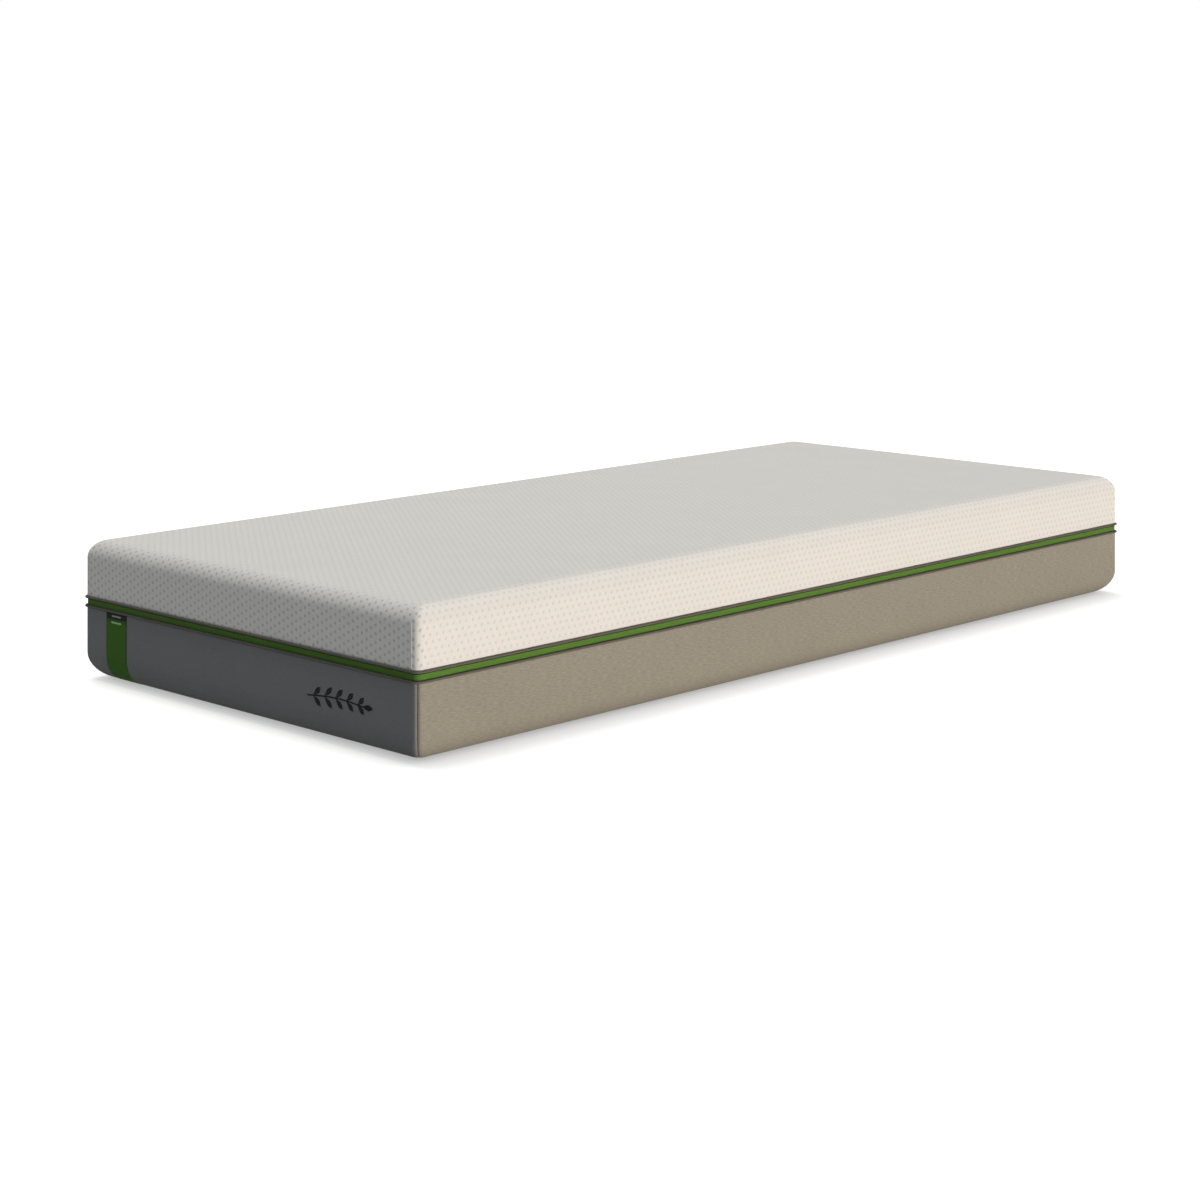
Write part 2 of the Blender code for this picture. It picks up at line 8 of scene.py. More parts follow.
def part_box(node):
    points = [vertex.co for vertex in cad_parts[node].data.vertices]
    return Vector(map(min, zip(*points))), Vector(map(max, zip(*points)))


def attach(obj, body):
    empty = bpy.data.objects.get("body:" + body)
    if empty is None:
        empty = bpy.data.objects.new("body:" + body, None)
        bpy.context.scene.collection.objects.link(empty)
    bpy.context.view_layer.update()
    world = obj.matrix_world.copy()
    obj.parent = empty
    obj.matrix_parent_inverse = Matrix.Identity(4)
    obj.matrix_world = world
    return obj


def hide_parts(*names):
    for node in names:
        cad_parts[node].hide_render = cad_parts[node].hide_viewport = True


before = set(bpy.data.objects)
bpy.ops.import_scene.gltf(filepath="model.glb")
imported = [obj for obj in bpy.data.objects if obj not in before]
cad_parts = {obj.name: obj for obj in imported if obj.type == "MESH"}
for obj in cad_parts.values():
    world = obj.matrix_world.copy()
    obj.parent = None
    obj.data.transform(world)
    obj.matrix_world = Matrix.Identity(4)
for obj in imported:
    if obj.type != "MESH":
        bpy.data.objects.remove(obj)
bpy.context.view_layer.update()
print("frame loaded:", len(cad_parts), "nodes")

# The cloth's outer faces. Places come from the CAD boxes, and these follow the same curves.
halfLength, halfWidth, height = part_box("top_cover")[1]
sideNames = ("right", "foot", "left", "head")
weld = 0.00001
shell = {
    "cornerRadius": 0.012,
    "topRounding": 0.032,
    "bottomRounding": 0.048,
    "cloth": 0.003,
    "cornerZone": 0.140,     # columns crowd together over this length before each corner
    "columnSpacing": 0.014,
    "cornerColumns": 20,
    "roundingSteps": 12,
    "wallStep": 0.009,
    "topFade": 0.120,        # how far in from its edge the top's grid follows the round corners
}


# Node helpers


def addNode(tree, kind, inputs=None, **settings):
    made = tree.nodes.new(kind)
    for key, value in settings.items():
        setattr(made, key, value)
    for key, value in (inputs or {}).items():
        if isinstance(value, bpy.types.NodeSocket):
            tree.links.new(value, made.inputs[key])
        else:
            made.inputs[key].default_value = value
    return made


def maths(tree, operation, *values):
    return addNode(tree, "ShaderNodeMath", dict(enumerate(values)), operation=operation).outputs[0]


def vectorMaths(tree, operation, *values, output=0):
    inputs = dict(enumerate(values))
    return addNode(tree, "ShaderNodeVectorMath", inputs, operation=operation).outputs[output]


def noiseField(tree, vector, scale, detail=2.0, roughness=0.5):
    inputs = {"Vector": vector, "Scale": scale, "Detail": detail, "Roughness": roughness}
    return addNode(tree, "ShaderNodeTexNoise", inputs).outputs["Fac"]


def spread(tree, value, low, high, newLow=0.0, newHigh=1.0):
    inputs = {0: value, 1: low, 2: high, 3: newLow, 4: newHigh}
    return addNode(tree, "ShaderNodeMapRange", inputs, interpolation_type="SMOOTHSTEP").outputs[0]


def blendColours(tree, factor, first, second, mode="MIX"):
    inputs = {0: factor, 6: first, 7: second}
    return addNode(tree, "ShaderNodeMix", inputs, data_type="RGBA", blend_type=mode).outputs[2]


def newGroup(name, inputs, outputs):
    group = bpy.data.node_groups.new(name, "ShaderNodeTree")
    for label, default in inputs.items():
        kind = "NodeSocketVector" if default is None else "NodeSocketFloat"
        socket = group.interface.new_socket(label, in_out="INPUT", socket_type=kind)
        if default is not None:
            socket.default_value = default
    for label in outputs:
        group.interface.new_socket(label, in_out="OUTPUT", socket_type="NodeSocketFloat")
    entry = group.nodes.new("NodeGroupInput").outputs
    leave = group.nodes.new("NodeGroupOutput").inputs
    return group, entry, leave


def useGroup(tree, group, inputs):
    made = tree.nodes.new("ShaderNodeGroup")
    made.node_tree = group
    for key, value in inputs.items():
        if isinstance(value, bpy.types.NodeSocket):
            tree.links.new(value, made.inputs[key])
        else:
            made.inputs[key].default_value = value
    return made.outputs


# Effects that several finishes share. Lengths are metres of cloth.


def makeDotGroup():
    # round dots in staggered rows, pulled a little askew as on real knit
    inputs = {"Cloth": None, "Period": 0.0138, "Row": 0.011, "Radius": 0.003, "Skew": 0.0}
    group, entry, leave = newGroup("dotLattice", inputs, ["Dots"])
    parts = addNode(group, "ShaderNodeSeparateXYZ", {0: entry["Cloth"]})
    pulled = maths(group, "MULTIPLY_ADD", parts.outputs[1], entry["Skew"], parts.outputs[0])
    spot = addNode(group, "ShaderNodeCombineXYZ", {0: pulled, 1: parts.outputs[1]}).outputs[0]
    cell = addNode(group, "ShaderNodeCombineXYZ", {0: entry["Period"], 2: 1.0})
    group.links.new(maths(group, "MULTIPLY", entry["Row"], 2.0), cell.inputs[1])
    distances = []
    for shift in (0.0, 0.5):
        share = vectorMaths(group, "DIVIDE", spot, cell.outputs[0])
        share = vectorMaths(group, "ADD", share, (shift, shift, 0.0))
        share = vectorMaths(group, "SUBTRACT", vectorMaths(group, "FRACTION", share), (0.5, 0.5, 0.0))
        flat = vectorMaths(group, "MULTIPLY", share, (1.0, 1.0, 0.0))
        away = vectorMaths(group, "MULTIPLY", flat, cell.outputs[0])
        distances.append(vectorMaths(group, "LENGTH", away, output=1))
    share = maths(group, "DIVIDE", maths(group, "MINIMUM", *distances), entry["Radius"])
    group.links.new(spread(group, share, 0.25, 1.35, 1.0, 0.0), leave["Dots"])
    return group


def makeKnitGroup():
    # rows of small V loops
    group, entry, leave = newGroup("knitLoops", {"Cloth": None, "Loop": 0.0013}, ["Height"])
    scaled = vectorMaths(group, "DIVIDE", entry["Cloth"], entry["Loop"])
    parts = addNode(group, "ShaderNodeSeparateXYZ", {0: scaled})
    offCentre = maths(group, "SUBTRACT", maths(group, "FRACT", parts.outputs[0]), 0.5)
    column = maths(group, "ABSOLUTE", offCentre)
    row = maths(group, "ADD", parts.outputs[1], maths(group, "MULTIPLY", column, 1.3))
    wave = maths(group, "SINE", maths(group, "MULTIPLY", row, 2 * math.pi))
    wale = maths(group, "MULTIPLY", maths(group, "SUBTRACT", 0.5, column), 2.0)
    raised = maths(group, "MULTIPLY_ADD", wave, 0.3, 0.6)
    group.links.new(maths(group, "MULTIPLY", raised, maths(group, "POWER", wale, 0.4)), leave["Height"])
    return group


def makeWeaveGroup():
    # one thread over the next, and the gaps between them
    inputs = {"Cloth": None, "Thread": 0.0008, "Stretch": 1.0}
    group, entry, leave = newGroup("plainWeave", inputs, ["Height", "Over"])
    scaled = vectorMaths(group, "DIVIDE", entry["Cloth"], entry["Thread"])
    parts = addNode(group, "ShaderNodeSeparateXYZ", {0: scaled})
    across = maths(group, "DIVIDE", parts.outputs[0], entry["Stretch"])
    turns = [maths(group, "MULTIPLY", value, math.pi) for value in (across, parts.outputs[1])]
    over = maths(group, "MULTIPLY", *[maths(group, "SINE", turn) for turn in turns])
    openings = [maths(group, "ABSOLUTE", maths(group, "COSINE", turn)) for turn in turns]
    gaps = maths(group, "MULTIPLY", *openings)
    group.links.new(maths(group, "MULTIPLY_ADD", over, 0.5, 0.5), leave["Over"])
    dips = maths(group, "MULTIPLY_ADD", gaps, -0.35, 0.7)
    group.links.new(maths(group, "MULTIPLY_ADD", over, 0.3, dips), leave["Height"])
    return group


def makeYarnGroup():
    # uneven yarn: long thick and thin places along the thread, and soft patches
    inputs = {"Cloth": None, "Slub Length": 0.030, "Slub Width": 0.0016}
    group, entry, leave = newGroup("unevenYarn", inputs, ["Slubs", "Patches", "Lint"])
    parts = addNode(group, "ShaderNodeSeparateXYZ", {0: entry["Cloth"]})
    along = maths(group, "DIVIDE", parts.outputs[0], entry["Slub Length"])
    across = maths(group, "DIVIDE", parts.outputs[1], entry["Slub Width"])
    slub = addNode(group, "ShaderNodeCombineXYZ", {0: along, 1: across})
    group.links.new(noiseField(group, slub.outputs[0], 1.0, 3.0, 0.65), leave["Slubs"])
    group.links.new(noiseField(group, entry["Cloth"], 9.0, 3.0), leave["Patches"])
    lint = noiseField(group, entry["Cloth"], 420.0, 2.0, 0.6)
    group.links.new(spread(group, lint, 0.66, 0.76), leave["Lint"])
    return group


def makeTwistGroup():
    # strands that run at a slant, as on a twisted thread or a bias-cut cord cover
    inputs = {"Cloth": None, "Strand": 0.001, "Slant": 1.0}
    group, entry, leave = newGroup("slantStrands", inputs, ["Height"])
    parts = addNode(group, "ShaderNodeSeparateXYZ", {0: entry["Cloth"]})
    slanted = maths(group, "MULTIPLY_ADD", parts.outputs[1], entry["Slant"], parts.outputs[0])
    turn = maths(group, "MULTIPLY", maths(group, "DIVIDE", slanted, entry["Strand"]), math.pi)
    group.links.new(maths(group, "ABSOLUTE", maths(group, "SINE", turn)), leave["Height"])
    return group


def makeFoamGroup():
    # cut foam: fine open cells, some larger ones, and long soft marks from the blade
    inputs = {"Place": None, "Cells": 700.0, "Large Cells": 140.0}
    group, entry, leave = newGroup("foamCells", inputs, ["Height", "Pores", "Patches"])
    fine, large = [
        addNode(group, "ShaderNodeTexVoronoi", {"Vector": entry["Place"], "Scale": entry[size]})
        for size in ("Cells", "Large Cells")
    ]
    pores = spread(group, large.outputs["Distance"], 0.08, 0.30, 1.0, 0.0)
    blade = vectorMaths(group, "MULTIPLY", entry["Place"], (2.0, 2.0, 60.0))
    marks = noiseField(group, blade, 1.0, 2.0)
    height = maths(group, "MULTIPLY_ADD", pores, -1.4, fine.outputs["Distance"])
    group.links.new(maths(group, "MULTIPLY_ADD", marks, 1.2, height), leave["Height"])
    group.links.new(pores, leave["Pores"])
    group.links.new(noiseField(group, entry["Place"], 7.0, 3.0), leave["Patches"])
    return group


groups = {
    "dots": makeDotGroup(),
    "knit": makeKnitGroup(),
    "weave": makeWeaveGroup(),
    "yarn": makeYarnGroup(),
    "twist": makeTwistGroup(),
    "foam": makeFoamGroup(),
}


# Finishes


def grey(value):
    return (value, value, value, 1.0)


def newMaterial(name, settings):
    material = bpy.data.materials.new(name)
    material.use_nodes = True
    tree = material.node_tree
    shader = tree.nodes["Principled BSDF"]
    shader.inputs["Roughness"].default_value = settings.get("roughness", 0.9)
    shader.inputs["Specular IOR Level"].default_value = settings.get("specular", 0.3)
    shader.inputs["Sheen Weight"].default_value = settings.get("sheen", 0.0)
    shader.inputs["Sheen Roughness"].default_value = settings.get("sheenRoughness", 0.5)
    shader.inputs["Metallic"].default_value = settings.get("metallic", 0.0)
    material.diffuse_color = (*settings["colour"], 1.0)
    return material, tree, shader


def addBump(tree, shader, heightSocket, depth, strength=1.0):
    inputs = {"Height": heightSocket, "Distance": depth, "Strength": strength}
    bump = addNode(tree, "ShaderNodeBump", inputs)
    tree.links.new(bump.outputs[0], shader.inputs["Normal"])


def clothMaterial(name, settings):
    material, tree, shader = newMaterial(name, settings)
    cloth = addNode(tree, "ShaderNodeUVMap", uv_map="cloth").outputs[0]
    yarn = useGroup(tree, groups["yarn"], {
        "Cloth": cloth,
        "Slub Length": settings.get("slubLength", 0.03),
        "Slub Width": settings.get("slubWidth", 0.0016),
    })
    if "loop" in settings:
        relief = useGroup(tree, groups["knit"], {"Cloth": cloth, "Loop": settings["loop"]})["Height"]
    elif "strand" in settings:
        inputs = {"Cloth": cloth, "Strand": settings["strand"], "Slant": settings["slant"]}
        relief = useGroup(tree, groups["twist"], inputs)["Height"]
    else:
        inputs = {"Cloth": cloth, "Thread": settings["thread"], "Stretch": settings.get("stretch", 1.0)}
        relief = useGroup(tree, groups["weave"], inputs)["Height"]
    light = (*settings["colour"], 1.0)
    dark = (*[channel * settings.get("darkShare", 0.8) for channel in settings["colour"]], 1.0)
    slubs = spread(tree, yarn["Slubs"], 0.32, 0.68)
    shade = blendColours(tree, slubs, dark, light)
    patches = spread(tree, yarn["Patches"], 0.3, 0.7, settings.get("patchShare", 0.94), 1.0)
    shade = blendColours(tree, 1.0, shade, patches, "MULTIPLY")
    threads = spread(tree, relief, 0.1, 0.9, settings.get("gapShare", 0.8), 1.0)
    shade = blendColours(tree, 1.0, shade, threads, "MULTIPLY")
    if "lint" in settings:
        share = maths(tree, "MULTIPLY", yarn["Lint"], settings["lint"])
        shade = blendColours(tree, share, shade, grey(0.7))
    if "dots" in settings:
        spots = useGroup(tree, groups["dots"], {"Cloth": cloth, **settings["dots"]})["Dots"]
        # the dots are the knit's own darker grey; near the two ends they are painted darker still, as
        # painted shade in their dimples on those shaded faces
        place = addNode(tree, "ShaderNodeTexCoord").outputs["Object"]
        away = maths(tree, "ABSOLUTE", addNode(tree, "ShaderNodeSeparateXYZ", {0: place}).outputs[0])
        near, end = halfLength - 0.025, halfLength - 0.004
        share = spread(tree, away, near, end, settings["dotShare"], settings["endDotShadeShare"])
        dimmed = spread(tree, spots, 0.0, 1.0, 1.0, share)
        shade = blendColours(tree, 1.0, shade, dimmed, "MULTIPLY")
        relief = maths(tree, "MULTIPLY_ADD", spots, -settings["dotDepth"], relief)
    relief = maths(tree, "MULTIPLY_ADD", yarn["Slubs"], settings.get("slubRelief", 0.3), relief)
    tree.links.new(shade, shader.inputs["Base Color"])
    rough = spread(tree, relief, 0.0, 1.0, settings["roughness"], settings["roughness"] - 0.08)
    tree.links.new(rough, shader.inputs["Roughness"])
    addBump(tree, shader, relief, settings["depth"], settings.get("strength", 0.8))
    return material


def foamMaterial(name, settings):
    material, tree, shader = newMaterial(name, settings)
    place = addNode(tree, "ShaderNodeTexCoord").outputs["Object"]
    inputs = {"Place": place, "Cells": settings["cells"], "Large Cells": settings["largeCells"]}
    foam = useGroup(tree, groups["foam"], inputs)
    light = (*settings["colour"], 1.0)
    aged = (*settings["aged"], 1.0)
    shade = blendColours(tree, spread(tree, foam["Patches"], 0.35, 0.75), light, aged)
    dimmed = spread(tree, foam["Pores"], 0.0, 1.0, 1.0, settings["poreShare"])
    shade = blendColours(tree, 1.0, shade, dimmed, "MULTIPLY")
    tree.links.new(shade, shader.inputs["Base Color"])
    rough = spread(tree, foam["Patches"], 0.2, 0.8, 0.88, 0.98)
    tree.links.new(rough, shader.inputs["Roughness"])
    addBump(tree, shader, foam["Height"], settings["depth"], 0.7)
    return material


def plainMaterial(name, settings):
    # moulded nylon, rubber and metal: fine grain, and scuffs in a worn, lighter colour
    material, tree, shader = newMaterial(name, settings)
    place = addNode(tree, "ShaderNodeTexCoord").outputs["Object"]
    grain = noiseField(tree, place, settings["grain"], 3.0)
    drawn = vectorMaths(tree, "MULTIPLY", place, (1.0, 1.0, 9.0))
    scuffs = noiseField(tree, drawn, settings["grain"] / 6, 4.0, 0.7)
    worn = spread(tree, scuffs, 0.52, 0.70)
    light = (*settings["worn"], 1.0)
    shade = blendColours(tree, worn, (*settings["colour"], 1.0), light)
    tree.links.new(shade, shader.inputs["Base Color"])
    low, high = settings["roughness"], settings["roughness"] + 0.22
    tree.links.new(spread(tree, scuffs, 0.35, 0.7, low, high), shader.inputs["Roughness"])
    addBump(tree, shader, grain, settings["depth"], 0.5)
    return material


clothFinishes = {
    "whiteKnit": {
        "colour": (0.800, 0.792, 0.775), "darkShare": 0.965, "gapShare": 0.92, "roughness": 0.92,
        "sheen": 0.08, "loop": 0.0014, "depth": 0.0003, "slubLength": 0.004, "slubWidth": 0.004,
        "dots": {"Period": 0.0138, "Row": 0.0110, "Radius": 0.0032, "Skew": -0.1}, "dotShare": 0.87,
        # the dots on the two ends are darker still: painted shade in their dimples
        "endDotShadeShare": 0.72, "dotDepth": 1.4, "patchShare": 0.985,
    },
    "knitBack": {
        "colour": (0.74, 0.73, 0.71), "darkShare": 0.93, "gapShare": 0.80, "roughness": 0.95,
        "sheen": 0.1, "loop": 0.0019, "depth": 0.0004,
    },
    "pipingCloth": {
        "colour": (0.165, 0.152, 0.135), "darkShare": 0.82, "gapShare": 0.75, "roughness": 0.92,
        "specular": 0.15, "strand": 0.0009, "slant": 0.8, "depth": 0.0002,
    },
    "greenWebbing": {
        "colour": (0.110, 0.243, 0.040), "darkShare": 0.86, "gapShare": 0.72, "roughness": 0.85,
        "specular": 0.12, "strand": 0.0011, "slant": 0.0, "depth": 0.0002, "slubWidth": 0.003,
    },
    "taupeLinen": {
        "colour": (0.352, 0.332, 0.275), "darkShare": 0.74, "gapShare": 0.80, "roughness": 0.92,
        "sheen": 0.06, "thread": 0.0011, "stretch": 1.5, "depth": 0.00035, "slubLength": 0.012,
        "slubWidth": 0.0014, "slubRelief": 0.8, "lint": 0.10, "patchShare": 0.97,
    },
    "darkGreyWeave": {
        "colour": (0.229, 0.230, 0.240), "darkShare": 0.90, "gapShare": 0.84, "roughness": 0.92,
        "sheen": 0.05, "thread": 0.0008, "depth": 0.00022, "slubLength": 0.012, "slubWidth": 0.0012,
        "lint": 0.06, "patchShare": 0.97,
    },
    "panelLining": {
        "colour": (0.50, 0.49, 0.47), "darkShare": 0.88, "gapShare": 0.70, "roughness": 0.95,
        "thread": 0.0014, "depth": 0.0003,
    },
    "baseGripCloth": {
        "colour": (0.070, 0.070, 0.076), "darkShare": 0.80, "gapShare": 0.70, "roughness": 0.93,
        "sheen": 0.15, "thread": 0.0010, "depth": 0.0003, "lint": 0.18,
    },
    "blackSatin": {
        "colour": (0.020, 0.017, 0.017), "darkShare": 0.80, "gapShare": 0.70, "roughness": 0.65,
        "sheen": 0.05, "thread": 0.0004, "stretch": 3.0, "depth": 0.00008,
    },
    "greenSatin": {
        "colour": (0.063, 0.181, 0.0152), "darkShare": 0.88, "gapShare": 0.80, "roughness": 0.70,
        "specular": 0.15, "thread": 0.0004, "stretch": 3.0, "depth": 0.00008, "slubWidth": 0.0008,
    },
    "blackThread": {
        "colour": (0.013, 0.013, 0.014), "darkShare": 0.75, "gapShare": 0.60, "roughness": 0.52,
        "sheen": 0.05, "strand": 0.0005, "slant": 0.6, "depth": 0.00012,
    },
    "paleThread": {
        "colour": (0.55, 0.55, 0.53), "darkShare": 0.85, "gapShare": 0.70, "roughness": 0.60,
        "strand": 0.0005, "slant": 0.4, "depth": 0.00008,
    },
    "paleGreenThread": {
        "colour": (0.50, 0.72, 0.46), "darkShare": 0.90, "gapShare": 0.80, "roughness": 0.60,
        "strand": 0.0005, "slant": 0.4, "depth": 0.00008,
    },
    "greyThread": {
        "colour": (0.20, 0.195, 0.185), "darkShare": 0.85, "gapShare": 0.70, "roughness": 0.70,
        "strand": 0.0006, "slant": 0.5, "depth": 0.0001,
    },
    "zipTapeCloth": {
        "colour": (0.10, 0.10, 0.10), "darkShare": 0.80, "gapShare": 0.60, "roughness": 0.85,
        "strand": 0.0009, "slant": 1.0, "depth": 0.0002,
    },
    "scrimFelt": {
        "colour": (0.76, 0.76, 0.75), "darkShare": 0.88, "gapShare": 0.85, "roughness": 0.97,
        "thread": 0.0022, "depth": 0.0003, "slubLength": 0.012, "slubWidth": 0.005, "lint": 0.2,
    },
    "pocketFleece": {
        "colour": (0.78, 0.78, 0.77), "darkShare": 0.90, "gapShare": 0.82, "roughness": 0.96,
        "thread": 0.0016, "depth": 0.0003, "slubLength": 0.01, "slubWidth": 0.006,
    },
}
foamFinishes = {
    "comfortFoamCells": {
        "colour": (0.40, 0.60, 0.64), "aged": (0.36, 0.56, 0.58), "poreShare": 0.55,
        "cells": 520.0, "largeCells": 150.0, "depth": 0.0009,
    },
    "memoryFoamCells": {
        "colour": (0.76, 0.74, 0.63), "aged": (0.74, 0.69, 0.53), "poreShare": 0.80,
        "cells": 1100.0, "largeCells": 260.0, "depth": 0.0003,
    },
    "transitionFoamCells": {
        "colour": (0.68, 0.68, 0.66), "aged": (0.66, 0.65, 0.60), "poreShare": 0.72,
        "cells": 700.0, "largeCells": 180.0, "depth": 0.0005,
    },
    "baseFoamCells": {
        "colour": (0.64, 0.62, 0.58), "aged": (0.62, 0.58, 0.50), "poreShare": 0.65,
        "cells": 560.0, "largeCells": 150.0, "depth": 0.0007,
    },
    "railFoamCells": {
        "colour": (0.70, 0.70, 0.68), "aged": (0.68, 0.66, 0.60), "poreShare": 0.68,
        "cells": 620.0, "largeCells": 160.0, "depth": 0.0006,
    },
}
plainFinishes = {
    "zipNylon": {
        "colour": (0.055, 0.055, 0.057), "worn": (0.11, 0.11, 0.11), "roughness": 0.38,
        "grain": 900.0, "depth": 0.00003, "specular": 0.5,
    },
    "zipZinc": {
        "colour": (0.34, 0.33, 0.32), "worn": (0.62, 0.60, 0.57), "roughness": 0.26,
        "grain": 1400.0, "depth": 0.00003, "metallic": 1.0, "specular": 0.5,
    },
    "gripRubber": {
        "colour": (0.032, 0.032, 0.034), "worn": (0.07, 0.07, 0.07), "roughness": 0.55,
        "grain": 1200.0, "depth": 0.00005, "specular": 0.45,
    },
}
finishes = {name: clothMaterial(name, settings) for name, settings in clothFinishes.items()}
finishes.update({name: foamMaterial(name, settings) for name, settings in foamFinishes.items()})
finishes.update({name: plainMaterial(name, settings) for name, settings in plainFinishes.items()})
print("finishes made:", len(finishes))


# The mattress's outline and sides, as part of every piece that goes round it


def halfSide(side):
    return halfLength if side % 2 == 0 else halfWidth


def edgePoint(half, halfOut, along, inset, radius):
    # (along, outward, turn, way left to the corner's middle) for one place on a side
    zone = shell["cornerZone"]
    straight = half - inset - radius
    reach = straight + radius * math.pi / 4
    run = abs(along)
    if run > half - zone:
        run = half - zone + (run - half + zone) / zone * (reach - half + zone)
    turn = max(run - straight, 0) / radius
    across = min(run, straight) + radius * math.sin(turn)
    outward = halfOut - inset - radius + radius * math.cos(turn)
    return math.copysign(across, along), outward, math.copysign(turn, along), reach - run


def outlinePoint(side, along, ring, relief=None):
    # ring is (inset, z, corner radius), and relief gives how far the cloth stands out there
    inset, z, radius = ring
    across, outward, turn, left = edgePoint(halfSide(side), halfSide(side + 1), along, inset, radius)
    if relief:
        lift = relief(side, along, left, z)
        across += lift * math.sin(turn)
        outward += lift * math.cos(turn)
    heading = math.radians(90 * (side + 1))
    x = outward * math.cos(heading) - across * math.sin(heading)
    y = outward * math.sin(heading) + across * math.cos(heading)
    return Vector((x, y, z))


def columnsOf(side, spacing=None, crowd=None):
    half = halfSide(side)
    zone = shell["cornerZone"]
    crowd = crowd or shell["cornerColumns"]
    count = round(2 * (half - zone) / (spacing or shell["columnSpacing"]))
    middle = [(half - zone) * (2 * step / count - 1) for step in range(count + 1)]
    end = [half - zone * (1 - step / crowd) ** 2 for step in range(1, crowd + 1)]
    return [-value for value in reversed(end)] + middle + end


def insetAt(z, depth=0.0):
    bottom, top = shell["bottomRounding"], shell["topRounding"]
    below, above = bottom - z, z - (height - top)
    if below > 0:
        return bottom - math.sqrt(max((bottom - depth) ** 2 - below ** 2, 0))
    if above > 0:
        return top - math.sqrt(max((top - depth) ** 2 - above ** 2, 0))
    return depth


def levelsOf(low, high, depth=0.0):
    # heights up the side: even steps on the wall, even turns on the two roundings
    steps = shell["roundingSteps"]
    bottom, top = shell["bottomRounding"], shell["topRounding"]
    turns = [math.radians(90 * step / steps) for step in range(steps + 1)]
    found = [bottom - (bottom - depth) * math.cos(turn) for turn in turns]
    wall = height - top - bottom
    count = round(wall / shell["wallStep"])
    found += [bottom + wall * step / count for step in range(1, count)]
    found += [height - top + (top - depth) * math.sin(turn) for turn in turns]
    near = 0.0012
    return [low] + [z for z in found if low + near < z < high - near] + [high]


def ringAt(z, depth=0.0):
    return insetAt(z, depth), z, shell["cornerRadius"] - depth


def flatRing(depth, z):
    # for pieces that keep their distance from the cloth all the way round
    return depth, z, shell["cornerRadius"] - depth


def travelled(rings):
    # distance over the cloth from the first ring to each
    found = [0.0]
    for first, second in zip(rings, rings[1:]):
        found.append(found[-1] + math.hypot(second[0] - first[0], second[1] - first[1]))
    return found


# Mesh helpers


def bendGrid(bm, acrossCount, upCount, place, cloth):
    # a flat grid bent to shape: place and cloth turn (column, row) into a point and a spot on the cloth
    made = bmesh.ops.create_grid(bm, x_segments=acrossCount - 1, y_segments=upCount - 1, size=1.0)
    layer = bm.loops.layers.uv.get("cloth") or bm.loops.layers.uv.new("cloth")
    for vert in made["verts"]:
        column = round((vert.co.x + 1) / 2 * (acrossCount - 1))
        row = round((vert.co.y + 1) / 2 * (upCount - 1))
        spot = cloth(column, row)
        vert.co = place(column, row)
        for loop in vert.link_loops:
            loop[layer].uv = spot
    return made["verts"]


def wrapSide(bm, side, columns, rings, relief=None):
    # a strip of cloth round one side
    away = travelled(rings)
    start = sum(2 * halfSide(number) for number in range(side)) + halfSide(side)
    return bendGrid(
        bm, len(columns), len(rings),
        lambda column, row: outlinePoint(side, columns[column], rings[row], relief),
        lambda column, row: (start + columns[column], away[row]),
    )


def flatPoint(along, across, ring):
    # a place on the flat face inside a ring, on a grid that follows the round corners
    inset, z, radius = ring
    zone, fade = shell["cornerZone"], shell["topFade"]
    values, falls, shifts = [], [], []
    for value, half, halfOut in ((along, halfLength, halfWidth), (across, halfWidth, halfLength)):
        run = abs(value)
        if run > half - zone:
            run = half - zone + (run - half + zone) / zone * (zone - inset)
        values.append(run)
        falls.append((1 - min((half - inset - run) / fade, 1)) ** 2)
        edge = edgePoint(half, halfOut, abs(value), inset, radius)
        shifts.append((edge[0] - run, edge[1] - halfOut + inset))
    corner = edgePoint(halfLength, halfWidth, halfLength, inset, radius)
    cornerShift = (corner[0] - halfLength + inset, corner[1] - halfWidth + inset)
    byLong, byShort = falls[1], falls[0]
    both = byLong * byShort
    x = values[0] + byLong * shifts[0][0] + byShort * shifts[1][1] - both * cornerShift[0]
    y = values[1] + byLong * shifts[0][1] + byShort * shifts[1][0] - both * cornerShift[1]
    return Vector((math.copysign(x, along), math.copysign(y, across), z))


def capFace(bm, ring, spacing, crowd, facingUp=True):
    xs, ys = columnsOf(2, spacing, crowd), columnsOf(3, spacing, crowd)
    flip = 1 if facingUp else -1

    def place(column, row):
        return flatPoint(xs[column] * flip, ys[row], ring)

    return bendGrid(bm, len(xs), len(ys), place, lambda column, row: place(column, row).xy)


def closeHoles(bm):
    rims = [edge for edge in bm.edges if edge.is_boundary]
    if rims:
        bmesh.ops.holes_fill(bm, edges=rims, sides=0)


def makePiece(name, bm, body, materials, replaced=(), thickness=None, sharp=35):
    bmesh.ops.remove_doubles(bm, verts=bm.verts[:], dist=weld)
    mesh = bpy.data.meshes.new(name)
    bm.to_mesh(mesh)
    bm.free()
    mesh.shade_smooth()
    mesh.set_sharp_from_angle(angle=math.radians(sharp))
    for material in materials:
        mesh.materials.append(finishes[material])
    piece = bpy.data.objects.new(name, mesh)
    bpy.context.scene.collection.objects.link(piece)
    if thickness:
        wall = piece.modifiers.new("wall", "SOLIDIFY")
        wall.thickness = thickness
        wall.offset = -1
        wall.use_even_offset = False
        wall.material_offset = len(materials) - 1
    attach(piece, body)
    if replaced:
        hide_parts(*replaced)
    return piece


def sweepRound(bm, rings, spacing=None, crowd=None, relief=None):
    for side in range(4):
        wrapSide(bm, side, columnsOf(side, spacing, crowd), rings, relief)


